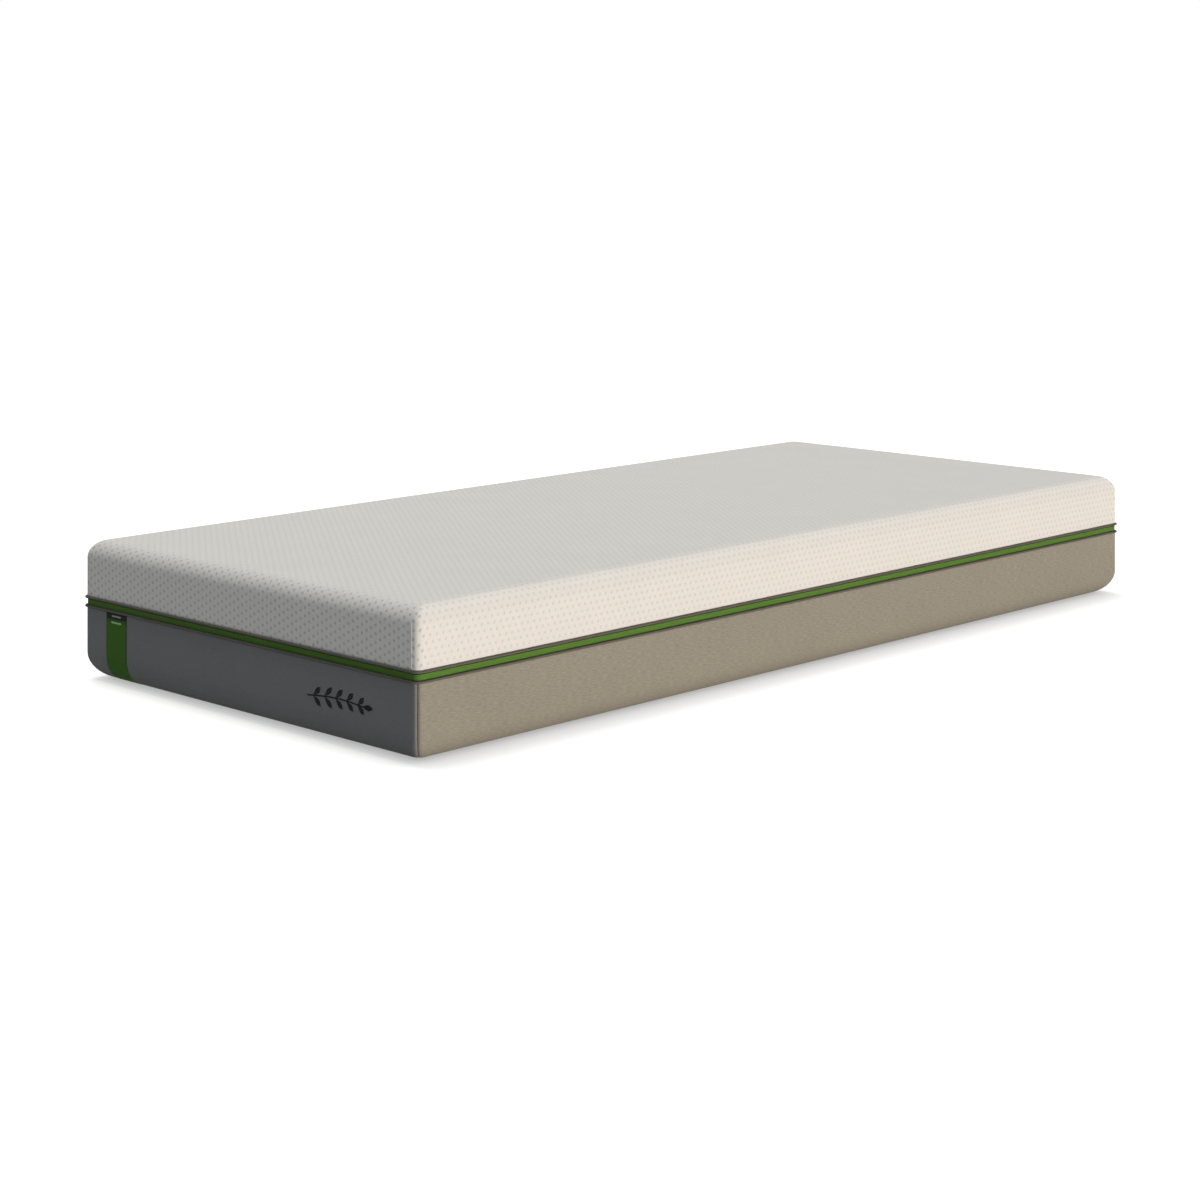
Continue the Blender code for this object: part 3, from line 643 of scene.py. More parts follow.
def addStitch(bm, start, end, radius, outward):
    # one short thread, low and round, lying along the cloth
    along = end - start
    side = outward.cross(along).normalized()
    turn = Matrix((along.normalized(), side, outward)).transposed().to_4x4()
    size = Matrix.Diagonal((along.length, radius * 2, radius * 1.6, 1.0))
    place = Matrix.Translation((start + end) / 2) @ turn @ size @ Matrix.Rotation(math.pi / 2, 4, "Y")
    bmesh.ops.create_uvsphere(bm, u_segments=6, v_segments=4, radius=0.5, matrix=place)


def stitchUv(bm):
    # a thread's cloth spots run along its length and round it
    layer = bm.loops.layers.uv.get("cloth") or bm.loops.layers.uv.new("cloth")
    for face in bm.faces:
        for loop in face.loops:
            point = loop.vert.co
            loop[layer].uv = (point.x + point.y, point.z + point.y * 0.5)


# Swelling. A coarse cage of the cover is blown up against its seams as cloth, and the fine
# mesh then follows it.


def swellField(name, build, pinned, settings):
    bm = bmesh.new()
    build(bm)
    bmesh.ops.remove_doubles(bm, verts=bm.verts[:], dist=weld)
    bmesh.ops.recalc_face_normals(bm, faces=bm.faces[:])
    mesh = bpy.data.meshes.new(name)
    bm.to_mesh(mesh)
    bm.free()
    cage = bpy.data.objects.new(name, mesh)
    bpy.context.scene.collection.objects.link(cage)
    rest = [vert.co.copy() for vert in mesh.vertices]
    held = cage.vertex_groups.new(name="held")
    held.add([number for number, point in enumerate(rest) if pinned(point)], 1.0, "REPLACE")
    cloth = cage.modifiers.new("swell", "CLOTH")
    cloth.settings.quality = 6
    cloth.settings.mass = 0.3
    cloth.settings.tension_stiffness = settings["tension"]
    cloth.settings.compression_stiffness = settings["tension"]
    cloth.settings.shear_stiffness = settings["tension"] / 3
    cloth.settings.bending_stiffness = settings["bending"]
    cloth.settings.tension_damping = 25
    cloth.settings.air_damping = 4
    cloth.settings.vertex_group_mass = "held"
    cloth.settings.use_pressure = True
    cloth.settings.uniform_pressure_force = settings["pressure"]
    cloth.settings.effector_weights.gravity = 0
    cloth.point_cache.frame_start = 1
    cloth.point_cache.frame_end = settings["frames"]
    for number in range(1, settings["frames"] + 1):
        bpy.context.scene.frame_set(number)
    graph = bpy.context.evaluated_depsgraph_get()
    blown = cage.evaluated_get(graph).to_mesh()
    moves = [vert.co - point for vert, point in zip(blown.vertices, rest)]
    most = max(move.length for move in moves)
    share = min(settings["cap"] / most, 1.0)
    tree = kdtree.KDTree(len(rest))
    for number, point in enumerate(rest):
        tree.insert(point, number)
    tree.balance()
    bpy.context.scene.frame_set(1)
    bpy.data.objects.remove(cage, do_unlink=True)
    print(f"{name}: blown {most * 1000:.1f} mm, kept to {most * share * 1000:.1f} mm")

    def moveAt(point):
        total, weights = Vector(), 0.0
        for _, number, distance in tree.find_n(point, 9):
            weight = math.exp(-((distance / settings["reach"]) ** 2))
            total += moves[number] * weight
            weights += weight
        return total * share / max(weights, 1e-9)

    return moveAt


# Top cover: the knit, one piece from hem to hem

cords = {}
for cordName in ("upper_piping", "lower_piping"):
    cordLow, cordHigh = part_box(cordName)
    cords[cordName] = {
        "z": (cordLow.z + cordHigh.z) / 2,
        "radius": (cordHigh.z - cordLow.z) / 2,
        "proud": cordHigh.x - halfLength,
    }
seamGap = 0.0003


def hemRings(cord, away, edge):
    # rings that lead the cloth from its face in round a cord
    middle = cord["radius"] - cord["proud"]
    reach = cord["radius"] + seamGap
    first = math.acos(-middle / reach)
    last = math.asin(abs(edge - cord["z"]) / reach)
    turns = (first, (first + last) / 2, last)
    return [
        flatRing(middle + reach * math.cos(turn), cord["z"] + away * reach * math.sin(turn))
        for turn in turns
    ]


coverSettings = {
    "seamTop": 0.232,        # where the corner seams run out
    "seamRise": 0.0011,
    "seamHalf": 0.0012,
    "seamSunk": 0.0002,
    "seamAway": 0.010,       # from the corner, on the two ends
    "waver": 0.0002,
    "swell": {
        "pressure": 0.035, "tension": 60.0, "bending": 8.0, "frames": 20, "cap": 0.0045, "reach": 0.055,
    },
}


def softWaver(point, size, scale=5.0):
    return size * noise.noise(point * scale)


def coverRings():
    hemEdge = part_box("top_cover")[0].z
    hem = hemRings(cords["upper_piping"], 1, hemEdge)
    rings = [ringAt(z) for z in levelsOf(hem[0][1] + 0.003, height)]
    return [*reversed(hem), *rings]


def buildCoverShell(bm, spacing=None, crowd=None, coarse=False):
    rings = coverRings()
    if coarse:
        rings = rings[2:4] + rings[4:-1:2] + rings[-1:]  # every second ring, from the hem up
    away = travelled(rings)
    for side in range(4):
        columns = columnsOf(side, spacing, crowd)
        tops = [outlinePoint(side, along, rings[-1]) for along in columns]

        def spot(column, row):
            # the cloth's pattern runs straight on from the top, and meets the next side at the seam
            point, top = outlinePoint(side, columns[column], rings[row]), tops[column]
            down = away[-1] - away[row]
            if side % 2 == 0:
                return point.x, top.y + math.copysign(down, top.y)
            return top.x + math.copysign(down, top.x), point.y

        bendGrid(
            bm, len(columns), len(rings),
            lambda column, row: outlinePoint(side, columns[column], rings[row]),
            spot,
        )
    capFace(bm, rings[-1], spacing, crowd)


def buildTopCover():
    bm = bmesh.new()
    buildCoverShell(bm)
    bmesh.ops.remove_doubles(bm, verts=bm.verts[:], dist=weld)
    hemTop = cords["upper_piping"]["z"] + 0.006
    moveAt = swellField(
        "coverCage", lambda cage: buildCoverShell(cage, 0.045, 5, True),
        lambda point: point.z < hemTop, coverSettings["swell"],
    )
    for vert in bm.verts:
        fade = min(max((vert.co.z - hemTop) / 0.02, 0), 1)
        vert.co += moveAt(vert.co) * fade
    for vert in bm.verts:
        if vert.co.z > hemTop:
            vert.co += vert.normal * softWaver(vert.co, coverSettings["waver"])
    cover = makePiece(
        "knit_top_cover", bm, "removable_cover", ["whiteKnit", "knitBack"],
        ["top_cover"], shell["cloth"], sharp=60,
    )
    return cover


def buildCornerSeams(cover):
    # a low welt of doubled knit up each end's two edges, laid on the finished cover
    bm = bmesh.new()
    s = coverSettings
    hemTop = coverRings()[2][1]
    count, around = 40, 9
    for side in (1, 3):
        for end in (-1, 1):

            def place(column, row):
                z = hemTop + (s["seamTop"] - hemTop) * row / (count - 1)
                across = math.cos(math.pi * column / (around - 1))
                rise = math.sin(math.pi * column / (around - 1)) * min((count - 1 - row) / 6, 1)
                along = end * (halfSide(side) - s["seamAway"]) - across * s["seamHalf"]
                spot = outlinePoint(side, along, ringAt(z))
                _, found, normal, _ = cover.closest_point_on_mesh(spot)
                return found + normal * (s["seamRise"] * rise - s["seamSunk"])

            bendGrid(bm, around, count, place, lambda column, row: (column * 0.0004, row * 0.002))
    welts = makePiece(
        "knit_corner_seams", bm, "removable_cover", ["whiteKnit"], (), 0.0004, sharp=60,
    )


buildCornerSeams(buildTopCover())
print("top cover made")


# Pipings: cloth wrapped round a cord, with the flange that the seam holds

pipingSettings = {"sides": 12, "flange": 0.001, "flangeDepth": 0.003, "waver": 0.00012}


def buildPiping(name, node, body):
    cord = cords[node]
    opening = math.asin(pipingSettings["flange"] / 2 / cord["radius"])
    middle = cord["radius"] - cord["proud"]
    count = pipingSettings["sides"]
    rings = []
    for step in range(count + 1):
        turn = (math.pi - opening) * (2 * step / count - 1)
        depth = middle - cord["radius"] * math.cos(turn)
        rings.append(flatRing(depth, cord["z"] + cord["radius"] * math.sin(turn)))
    half = pipingSettings["flange"] / 2
    depth = pipingSettings["flangeDepth"]
    rings = [flatRing(depth, cord["z"] - half)] + rings + [flatRing(depth, cord["z"] + half)]
    rings.append(rings[0])

    def waver(side, along, left, z):
        # each side has its own stretch of the noise
        return softWaver(Vector((side * 3.1, along, z)), pipingSettings["waver"], 60.0)

    bm = bmesh.new()
    sweepRound(bm, rings, relief=waver)
    makePiece(name, bm, body, ["pipingCloth"], [node])


buildPiping("upper_piping_cord", "upper_piping", "removable_cover")
buildPiping("lower_piping_cord", "lower_piping", "mattress_body")
print("pipings made")


# Trim band: grosgrain webbing with a thicker edge top and bottom

bandSettings = {"edge": 0.0009, "edgeRise": 0.00035, "belly": 0.0002}


def buildBand():
    low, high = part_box("trim_band")
    front = halfLength - high.x
    back = front + 0.002
    edge = bandSettings["edge"]
    tall = high.z - low.z
    rings = [flatRing(back, low.z), flatRing(front + 0.0004, low.z)]
    for share in (0.0, 0.5, 1.0):
        lift = bandSettings["edgeRise"] * math.sin(math.pi * (0.25 + share / 2))
        rings.append(flatRing(front - lift, low.z + 0.0002 + edge * share))
    for step in range(1, 8):
        share = step / 8
        lift = bandSettings["belly"] * math.sin(math.pi * share)
        rings.append(flatRing(front - lift, low.z + edge + (tall - 2 * edge) * share))
    for share in (0.0, 0.5, 1.0):
        lift = bandSettings["edgeRise"] * math.sin(math.pi * (0.25 + share / 2))
        rings.append(flatRing(front - lift, high.z - 0.0002 - edge * (1 - share)))
    rings += [flatRing(front + 0.0004, high.z), flatRing(back, high.z)]
    rings.append(rings[0])
    bm = bmesh.new()
    sweepRound(bm, rings)
    makePiece("green_trim_webbing", bm, "mattress_body", ["greenWebbing"], ["trim_band"])


buildBand()
print("trim band made")


# Lower cover: four panels that turn in at their corner seams and under the bottom edge

panelSettings = {
    "seamDip": 0.0022,
    "seamWidth": 0.0016,
    "gap": 0.00015,
    "waver": 0.0004,
    "swell": {
        "pressure": 0.6, "tension": 60.0, "bending": 8.0, "frames": 15, "cap": 0.0018, "reach": 0.040,
    },
}


def panelRelief(side, along, left, z):
    return -panelSettings["seamDip"] * math.exp(-((left / panelSettings["seamWidth"]) ** 2))


def panelRings():
    hem = hemRings(cords["lower_piping"], -1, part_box("left_side_panel")[1].z)
    return [ringAt(z) for z in levelsOf(0.0, hem[0][1] - 0.003)] + hem


def buildPanels():
    rings = panelRings()
    top = rings[-3][1]
    moveAt = None
    coarse = rings[:1] + rings[2:-3:2] + rings[-3:-2]

    def cage(bm):
        sweepRound(bm, coarse, 0.045, 5)

    def sewn(point):
        return point.z < 0.002 or point.z > top - 0.004

    moveAt = swellField("panelCage", cage, sewn, panelSettings["swell"])

    def fadeAt(z):
        # nothing moves at the two seams
        return min(max((top - z) / 0.015, 0), 1) * min(max(z / 0.02, 0), 1)

    def shiftAt(point):
        return moveAt(point) * fadeAt(point.z) if moveAt else Vector()

    for side, name in enumerate(sideNames):
        bm = bmesh.new()
        columns = columnsOf(side)
        columns[0] += panelSettings["gap"]
        columns[-1] -= panelSettings["gap"]
        wrapSide(bm, side, columns, rings, panelRelief)
        for vert in bm.verts:
            waver = softWaver(vert.co, panelSettings["waver"]) * fadeAt(vert.co.z)
            vert.co += shiftAt(vert.co) + vert.normal * waver
        longSide = side % 2 == 0
        finish = "taupeLinen" if longSide else "darkGreyWeave"
        node = name + ("_side_panel" if longSide else "_panel")
        panel = makePiece(
            name + "_lower_panel", bm, "mattress_body", [finish, "panelLining"], [node],
            shell["cloth"] * 0.8, sharp=60,
        )
    return shiftAt


panelShift = buildPanels()


def followPanels(bm):
    # what is sewn on the lower panels goes out with them
    for vert in bm.verts:
        vert.co += panelShift(vert.co)


print("side panels made")


# Base: grip cloth with small rubber dots, sewn to the panels' turned-under edges

baseSettings = {
    "dotRise": 0.0007,
    "dotRadius": 0.0026,
    "dotPitch": 0.030,
    "margin": 0.025,
    "stitchPitch": 0.007,
    "stitchIn": 0.004,
    "stitchFree": 0.09,      # no stitches this close to a corner
    "thread": 0.00035,
}


def buildBase():
    low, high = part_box("base_panel")
    inset = halfLength - high.x
    ring = (inset, baseSettings["dotRise"], shell["cornerRadius"])
    bm = bmesh.new()
    capFace(bm, ring, 0.05, 6, facingUp=False)
    thickness = high.z - low.z - baseSettings["dotRise"]
    makePiece(
        "base_grip_sheet", bm, "mattress_body", ["baseGripCloth"], ["base_panel"],
        thickness,
    )
    bm = bmesh.new()
    pitch = baseSettings["dotPitch"]
    reachX, reachY = high.x - baseSettings["margin"], high.y - baseSettings["margin"]
    rows = int(reachY / (pitch / 2))
    for row in range(-rows, rows + 1):
        columns = int(reachX / pitch)
        for column in range(-columns, columns + 1):
            x = (column + (row % 2) / 2) * pitch
            if abs(x) < reachX:
                place = Matrix.Translation((x, row * pitch / 2, baseSettings["dotRise"] / 2 + 0.00005))
                radius = baseSettings["dotRadius"]
                bmesh.ops.create_cone(
                    bm, cap_ends=True, segments=8, radius1=radius * 0.7, radius2=radius,
                    depth=baseSettings["dotRise"], matrix=place,
                )
    makePiece("base_grip_dots", bm, "mattress_body", ["gripRubber"])
    bm = bmesh.new()
    seam = (inset + baseSettings["stitchIn"], baseSettings["dotRise"] - 0.0001, shell["cornerRadius"])
    for side in range(4):
        half = halfSide(side) - baseSettings["stitchFree"]
        count = round(2 * half / baseSettings["stitchPitch"])
        for step in range(count):
            places = [half * (2 * (step + share) / count - 1) for share in (0.1, 0.75)]
            ends = [outlinePoint(side, place, seam) for place in places]
            addStitch(bm, *ends, baseSettings["thread"], Vector((0, 0, -1)))
    stitchUv(bm)
    makePiece("base_seam_stitches", bm, "mattress_body", ["greyThread"])


buildBase()
print("base made")


# Corner seam stitches

stitchSettings = {
    "pitch": 0.0042,
    "share": 0.62,
    "radius": 0.00032,
    "away": 0.0042,          # from the corner, on either side of the seam
    "low": 0.030,
    "turn": 25,              # degrees that the cloth has turned towards the corner there
}


def cornerStitches():
    bm = bmesh.new()
    high = cords["lower_piping"]["z"] - 0.007
    for side in range(4):
        for end in (-1, 1):
            along = end * (halfSide(side) - stitchSettings["away"])
            heading = math.radians(90 * (side + 1) + end * stitchSettings["turn"])
            facing = Vector((math.cos(heading), math.sin(heading), 0))
            z = stitchSettings["low"]
            while z < high:
                span = stitchSettings["pitch"] * stitchSettings["share"]
                ends = [outlinePoint(side, along, ringAt(place), panelRelief) for place in (z, z + span)]
                thread = ends[1] - ends[0]
                outward = thread.cross(facing.cross(thread)).normalized()
                addStitch(bm, *ends, stitchSettings["radius"], outward)
                z += stitchSettings["pitch"]
    stitchUv(bm)
    followPanels(bm)
    makePiece("lower_corner_stitches", bm, "mattress_body", ["greyThread"])


cornerStitches()
print("corner stitches made")


# Tag: black header over a green ribbon that turns under the edge

tagSettings = {
    "standOff": 0.0003,
    "thickness": 0.0006,
    "dashRise": 0.00016,
    "stitchPitch": 0.0026,
    "stitchInset": 0.0016,
    "thread": 0.00022,
}


def tagPoint(y, z, out):
    return Vector((-halfLength + insetAt(z) - out, y, z))


def tagNormal(z):
    lean = (insetAt(z + 0.0005) - insetAt(z - 0.0005)) / 0.001
    return Vector((-1, 0, -lean)).normalized()


def buildTag(name, node, finish, lowest):
    low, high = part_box(node)
    out = tagSettings["standOff"] + tagSettings["thickness"]
    levels = levelsOf(max(low.z, lowest), high.z)
    if len(levels) < 6:
        levels = [low.z + (high.z - low.z) * step / 8 for step in range(9)]
    count = 25
    bm = bmesh.new()

    def place(column, row):
        across = column / (count - 1)
        selvedge = 0.00018 * math.exp(-((min(across, 1 - across) * (count - 1)) ** 2))
        y, z = high.y + (low.y - high.y) * across, levels[row]
        return tagPoint(y, z, out + selvedge + softWaver(Vector((0, y, z)), 0.0002, 40.0))

    away = travelled([(insetAt(z), z) for z in levels])
    bendGrid(
        bm, count, len(levels), place,
        lambda column, row: ((high.y - low.y) * column / (count - 1), away[row]),
    )
    followPanels(bm)
    makePiece(name, bm, "mattress_body", [finish], [node], tagSettings["thickness"])


def tagDashes(name, node, finish, rows):
    # short woven bars in place of words
    low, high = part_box(node)
    out = tagSettings["standOff"] + tagSettings["thickness"]
    bm = bmesh.new()
    for middle, tall, lengths in rows:
        gap = 0.0011
        y = (low.y + high.y) / 2 + (sum(lengths) + gap * (len(lengths) - 1)) / 2
        for length in lengths:
            count = max(round(length / 0.0005), 3)

            def place(column, row):
                across, up = column / (count - 1), row / 6
                dome = math.sin(math.pi * up) ** 0.5 * (0.75 + 0.25 * math.cos(column * math.pi))
                z = high.z - middle + tall * (up - 0.5)
                return tagPoint(y - length * across, z, out + tagSettings["dashRise"] * dome + 0.0002)

            bendGrid(bm, count, 7, place, lambda column, row: (column * 0.0005, row * tall / 6))
            y -= length + gap
    followPanels(bm)
    makePiece(name, bm, "mattress_body", [finish], (), 0.0003)


def tagStitches():
    bm = bmesh.new()
    out = tagSettings["standOff"] + tagSettings["thickness"] + 0.0001
    inset, pitch = tagSettings["stitchInset"], tagSettings["stitchPitch"]
    for node in ("tag_header", "tag_ribbon"):
        low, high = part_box(node)
        bottom = max(low.z, 0.012) + (inset if node == "tag_header" else 0)
        for y in (low.y + inset, high.y - inset):
            z = bottom
            while z + pitch * 0.6 < high.z - inset * (node == "tag_header"):
                ends = [tagPoint(y, place, out) for place in (z, z + pitch * 0.6)]
                addStitch(bm, *ends, tagSettings["thread"], tagNormal(z))
                z += pitch
        if node == "tag_header":
            for z in (bottom, high.z - inset):
                y = low.y + inset
                while y < high.y - inset:
                    ends = [tagPoint(place, z, out) for place in (y, y + pitch * 0.6)]
                    addStitch(bm, *ends, tagSettings["thread"], tagNormal(z))
                    y += pitch
    stitchUv(bm)
    followPanels(bm)
    makePiece("tag_stitches", bm, "mattress_body", ["blackThread"])


buildTag("tag_header_label", "tag_header", "blackSatin", 0.0)
buildTag("tag_green_ribbon", "tag_ribbon", "greenSatin", 0.001)
tagDashes(
    "tag_header_dashes", "tag_header", "paleThread",
    [(0.0046, 0.0030, [0.0030, 0.0052, 0.0030, 0.0062, 0.0044])],
)
tagDashes(
    "tag_ribbon_dashes", "tag_ribbon", "paleGreenThread",
    [(0.0062, 0.0034, [0.0060, 0.0036, 0.0060, 0.0036, 0.0048])],
)
tagStitches()
print("tag made")


# Leaf sprig, embroidered in black satin stitch on the foot panel

sprigSettings = {
    "length": 0.162,
    "stemWidth": 0.0024,
    "stemRise": 0.006,
    "leafLength": 0.024,
    "leafWidth": 0.0085,
    "leafFoot": 0.0018,
    "leafSwell": 1.3,
    "pairs": 5,
    "start": 0.6,
    "taper": 0.08,
    "angle": math.radians(40),
    "stitch": 0.00055,
    "rise": 0.0009,
    "groove": 0.00018,
    "rib": 0.00012,
}


def buildSprig():
    low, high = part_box("leaf_emblem")
    centreY, centreZ = (low.y + high.y) / 2, (low.z + high.z) / 2
    s = sprigSettings
    bm = bmesh.new()

    def stem(share):
        return Vector((s["length"] * (share - 0.5), s["stemRise"] * (math.sin(math.pi * share) - 0.5)))

    def onPanel(spot, rise):
        return Vector((-halfLength - 0.0002 - rise, centreY - spot.x, centreZ + spot.y))

    def stitched(count, path, width):
        # a padded bar of satin stitch: every second row of points sinks between two threads
        acrossCount = 9

        def place(column, row):
            across = column / (acrossCount - 1) * 2 - 1
            point, sideways = path(row / (count - 1))
            pad = max(1 - across ** 2, 0) ** 0.5
            rise = s["rise"] * pad * (0.45 + 0.55 * width(row / (count - 1)) / (s["leafWidth"] / 2))
            rise -= s["groove"] * (row % 2) * pad
            return onPanel(point + sideways * across * width(row / (count - 1)), rise)

        bendGrid(
            bm, acrossCount, count, place,
            lambda column, row: (row * s["stitch"], column * 0.0006),
        )

    def leafHalf(share):
        swelling = s["leafWidth"] / 2 * math.sin(math.pi * share ** s["leafSwell"])
        return s["leafFoot"] / 2 * (1 - share) + swelling

    def leaf(foot, angle, length):
        along = Vector((math.cos(angle), math.sin(angle)))
        sideways = Vector((-math.sin(angle), math.cos(angle)))
        for half in (-1, 1):
            # each half leaf has its own slanting stitches, which meet at the rib
            def path(share):
                middle = sideways * half * (leafHalf(share) / 2 + s["rib"])
                return foot + along * length * share + middle, sideways

            def width(share):
                return max(leafHalf(share) / 2 - s["rib"], 0.00008)

            stitched(round(length / s["stitch"]) * 2 + 1, path, width)

    stemShare = 1 - s["leafLength"] / s["length"]
    stitched(
        round(s["length"] * stemShare / s["stitch"]) * 2 + 1,
        lambda share: (stem(share * stemShare), Vector((0, 1))),
        lambda share: s["stemWidth"] / 2,
    )
    halfStem = Vector((0, s["stemWidth"] / 2))
    for pair in range(s["pairs"]):
        foot = stem(stemShare * (pair + s["start"]) / s["pairs"])
        size = s["leafLength"] * (1 - s["taper"] * abs(pair - 1))
        leaf(foot + halfStem, s["angle"], size)
        leaf(foot - halfStem, -s["angle"], size)
    leaf(stem(stemShare), 0.0, s["leafLength"])
    for face in bm.faces:
        if face.normal.x > 0:
            face.normal_flip()
    followPanels(bm)
    makePiece(
        "leaf_sprig_embroidery", bm, "mattress_body", ["blackThread"],
        ["leaf_emblem"], 0.0003,
    )


buildSprig()
print("leaf sprig made")


# Zip: woven tapes, nylon coils, and the metal slider, pull and stop from the CAD

zipLow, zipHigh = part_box("lower_zip_coil")
zipSettings = {
    "chainDepth": halfLength - zipHigh.x + (zipHigh.z - zipLow.z) / 2,
    "coilRadius": (zipHigh.z - zipLow.z) / 2,
    "coilPitch": 0.0020,
    "wire": 0.00032,
    "tape": 0.0006,
    "tapeWidth": 0.012,
    "seamDepth": 0.0033,
    "clear": 0.0043,
    "edge": 0.0027,
}


def buildTape(name, node, body, up):
    low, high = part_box(node)
    middle = low.z - zipSettings["edge"] if up > 0 else high.z + zipSettings["edge"]
    chain = zipSettings["chainDepth"] - zipSettings["tape"] / 2
    seam, clear = zipSettings["seamDepth"], zipSettings["clear"]
    step = clear + (chain - seam) * 2
    front = [(chain, zipSettings["edge"]), (chain, 0.0035), (chain, clear)]
    front += [((chain + seam) / 2, (clear + step) / 2)]
    front += [(seam, z) for z in (step, 0.0100, zipSettings["tapeWidth"])]
    back = [(depth + zipSettings["tape"], z) for depth, z in reversed(front)]
    loop = front + back
    rings = [flatRing(depth, middle + up * z) for depth, z in loop]
    rings = rings if up > 0 else rings[::-1]
    rings.append(rings[0])
    bm = bmesh.new()
    sweepRound(bm, rings, 0.02, 12)
    makePiece(name, bm, body, ["zipTapeCloth"], [node])


def buildCoil(name, node, body):
    low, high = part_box(node)
    middle = (low.z + high.z) / 2
    depth, wire = zipSettings["chainDepth"], zipSettings["wire"]
    loopRadius = zipSettings["coilRadius"] - wire
    path = []
    for side in range(4):
        for along in columnsOf(side, 0.01, 12)[:-1]:
            path.append(outlinePoint(side, along, flatRing(depth, middle)))
    path.append(path[0])
    curve = bpy.data.curves.new(name, "CURVE")
    curve.dimensions = "3D"
    curve.bevel_depth = wire
    curve.bevel_resolution = 0
    points = []
    travelledWay, perTurn = 0.0, 6
    spacing = zipSettings["coilPitch"] / perTurn
    nextAt, turns = 0.0, 0
    for first, second in zip(path, path[1:]):
        step = (second - first).length
        along = (second - first) / step
        outward = Vector((along.y, -along.x, 0))
        while nextAt <= travelledWay + step:
            spot = first + along * (nextAt - travelledWay)
            turn = 2 * math.pi * turns / perTurn
            upward = Vector((0, 0, loopRadius * math.sin(turn)))
            points.append(spot + outward * loopRadius * math.cos(turn) + upward)
            nextAt += spacing
            turns += 1
        travelledWay += step
    spline = curve.splines.new("POLY")
    spline.points.add(len(points) - 1)
    for spot, point in zip(spline.points, points):
        spot.co = (*point, 1)
    spline.use_cyclic_u = True
    holder = bpy.data.objects.new(name, curve)
    bpy.context.scene.collection.objects.link(holder)
    bpy.context.view_layer.update()
    graph = bpy.context.evaluated_depsgraph_get()
    mesh = bpy.data.meshes.new_from_object(holder.evaluated_get(graph))
    bpy.data.objects.remove(holder, do_unlink=True)
    bm = bmesh.new()
    bm.from_mesh(mesh)
    bpy.data.meshes.remove(mesh)
    makePiece(name, bm, body, ["zipNylon"], [node])


buildTape("upper_tape_cloth", "upper_zip_tape", "removable_cover", 1)
buildTape("lower_tape_cloth", "lower_zip_tape", "mattress_body", -1)
buildCoil("upper_coil_turns", "upper_zip_coil", "removable_cover")
buildCoil("lower_coil_turns", "lower_zip_coil", "mattress_body")

for node in ("zip_slider", "zip_pull", "zip_end_stop"):
    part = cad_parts[node]
    part.data.materials.clear()
    part.data.materials.append(finishes["zipZinc"])
    merge = part.modifiers.new("merge", "WELD")
    merge.merge_threshold = 0.000005
    rounded = part.modifiers.new("rounded edges", "BEVEL")
    rounded.width = 0.00012
    rounded.segments = 2
    rounded.limit_method = "ANGLE"
    rounded.angle_limit = math.radians(40)
print("zip made")


# Core foams: cut slabs with softened edges

foamSettings = {
    "edge": 0.0022,
    "depth": 0.0033,
    "spacing": 0.04,
    "crowd": 8,
    "waver": 0.0005,
    "ringStep": 0.006,
    "railWidth": 0.060,
    "railGap": 0.0002,
    "railEdge": 0.002,
    "layers": {
        "base_foam": ("base_foam_slab", "base_foam_cells", "baseFoamCells"),
        "transition_foam": ("transition_foam_slab", "transition_foam_cells", "transitionFoamCells"),
        "memory_foam": ("memory_foam_slab", "memory_foam_cells", "memoryFoamCells"),
        "comfort_foam": ("comfort_foam_slab", "comfort_foam_cells", "comfortFoamCells"),
    },
}
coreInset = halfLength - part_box("memory_foam")[1].x


def coreRing(z, edgeIn=0.0):
    inset = max(insetAt(z, foamSettings["depth"]), coreInset)
    return inset + edgeIn, z, shell["cornerRadius"] - foamSettings["depth"]


def coreRings(low, high):
    # softened along its lower and upper edges
    edge = foamSettings["edge"]
    rounding = []
    for step in range(4):
        turn = math.radians(90 * step / 3)
        rounding.append((edge * (1 - math.sin(turn)), edge * (1 - math.cos(turn))))
    rings = [coreRing(low + away, edgeIn) for away, edgeIn in reversed(rounding)]
    span = high - low - 2 * edge
    count = max(round(span / foamSettings["ringStep"]), 2)
    rings += [coreRing(low + edge + span * step / count) for step in range(1, count)]
    rings += [coreRing(high - away, edgeIn) for away, edgeIn in rounding]
    return rings


def buildFoams():
    for node, (name, slot, finish) in foamSettings["layers"].items():
        low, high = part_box(node)
        rings = coreRings(low.z, high.z)
        bm = bmesh.new()
        sweepRound(bm, rings, foamSettings["spacing"], foamSettings["crowd"])
        capFace(bm, rings[-1], foamSettings["spacing"], foamSettings["crowd"])
        capFace(bm, rings[0], foamSettings["spacing"], foamSettings["crowd"], facingUp=False)
        bmesh.ops.remove_doubles(bm, verts=bm.verts[:], dist=weld)
        bmesh.ops.recalc_face_normals(bm, faces=bm.faces[:])
        for vert in bm.verts:
            if low.z + 0.004 < vert.co.z < high.z - 0.004:
                vert.co -= vert.normal * abs(softWaver(vert.co, foamSettings["waver"], 6.0))
        slab = makePiece(name, bm, "mattress_body", [finish], [node])


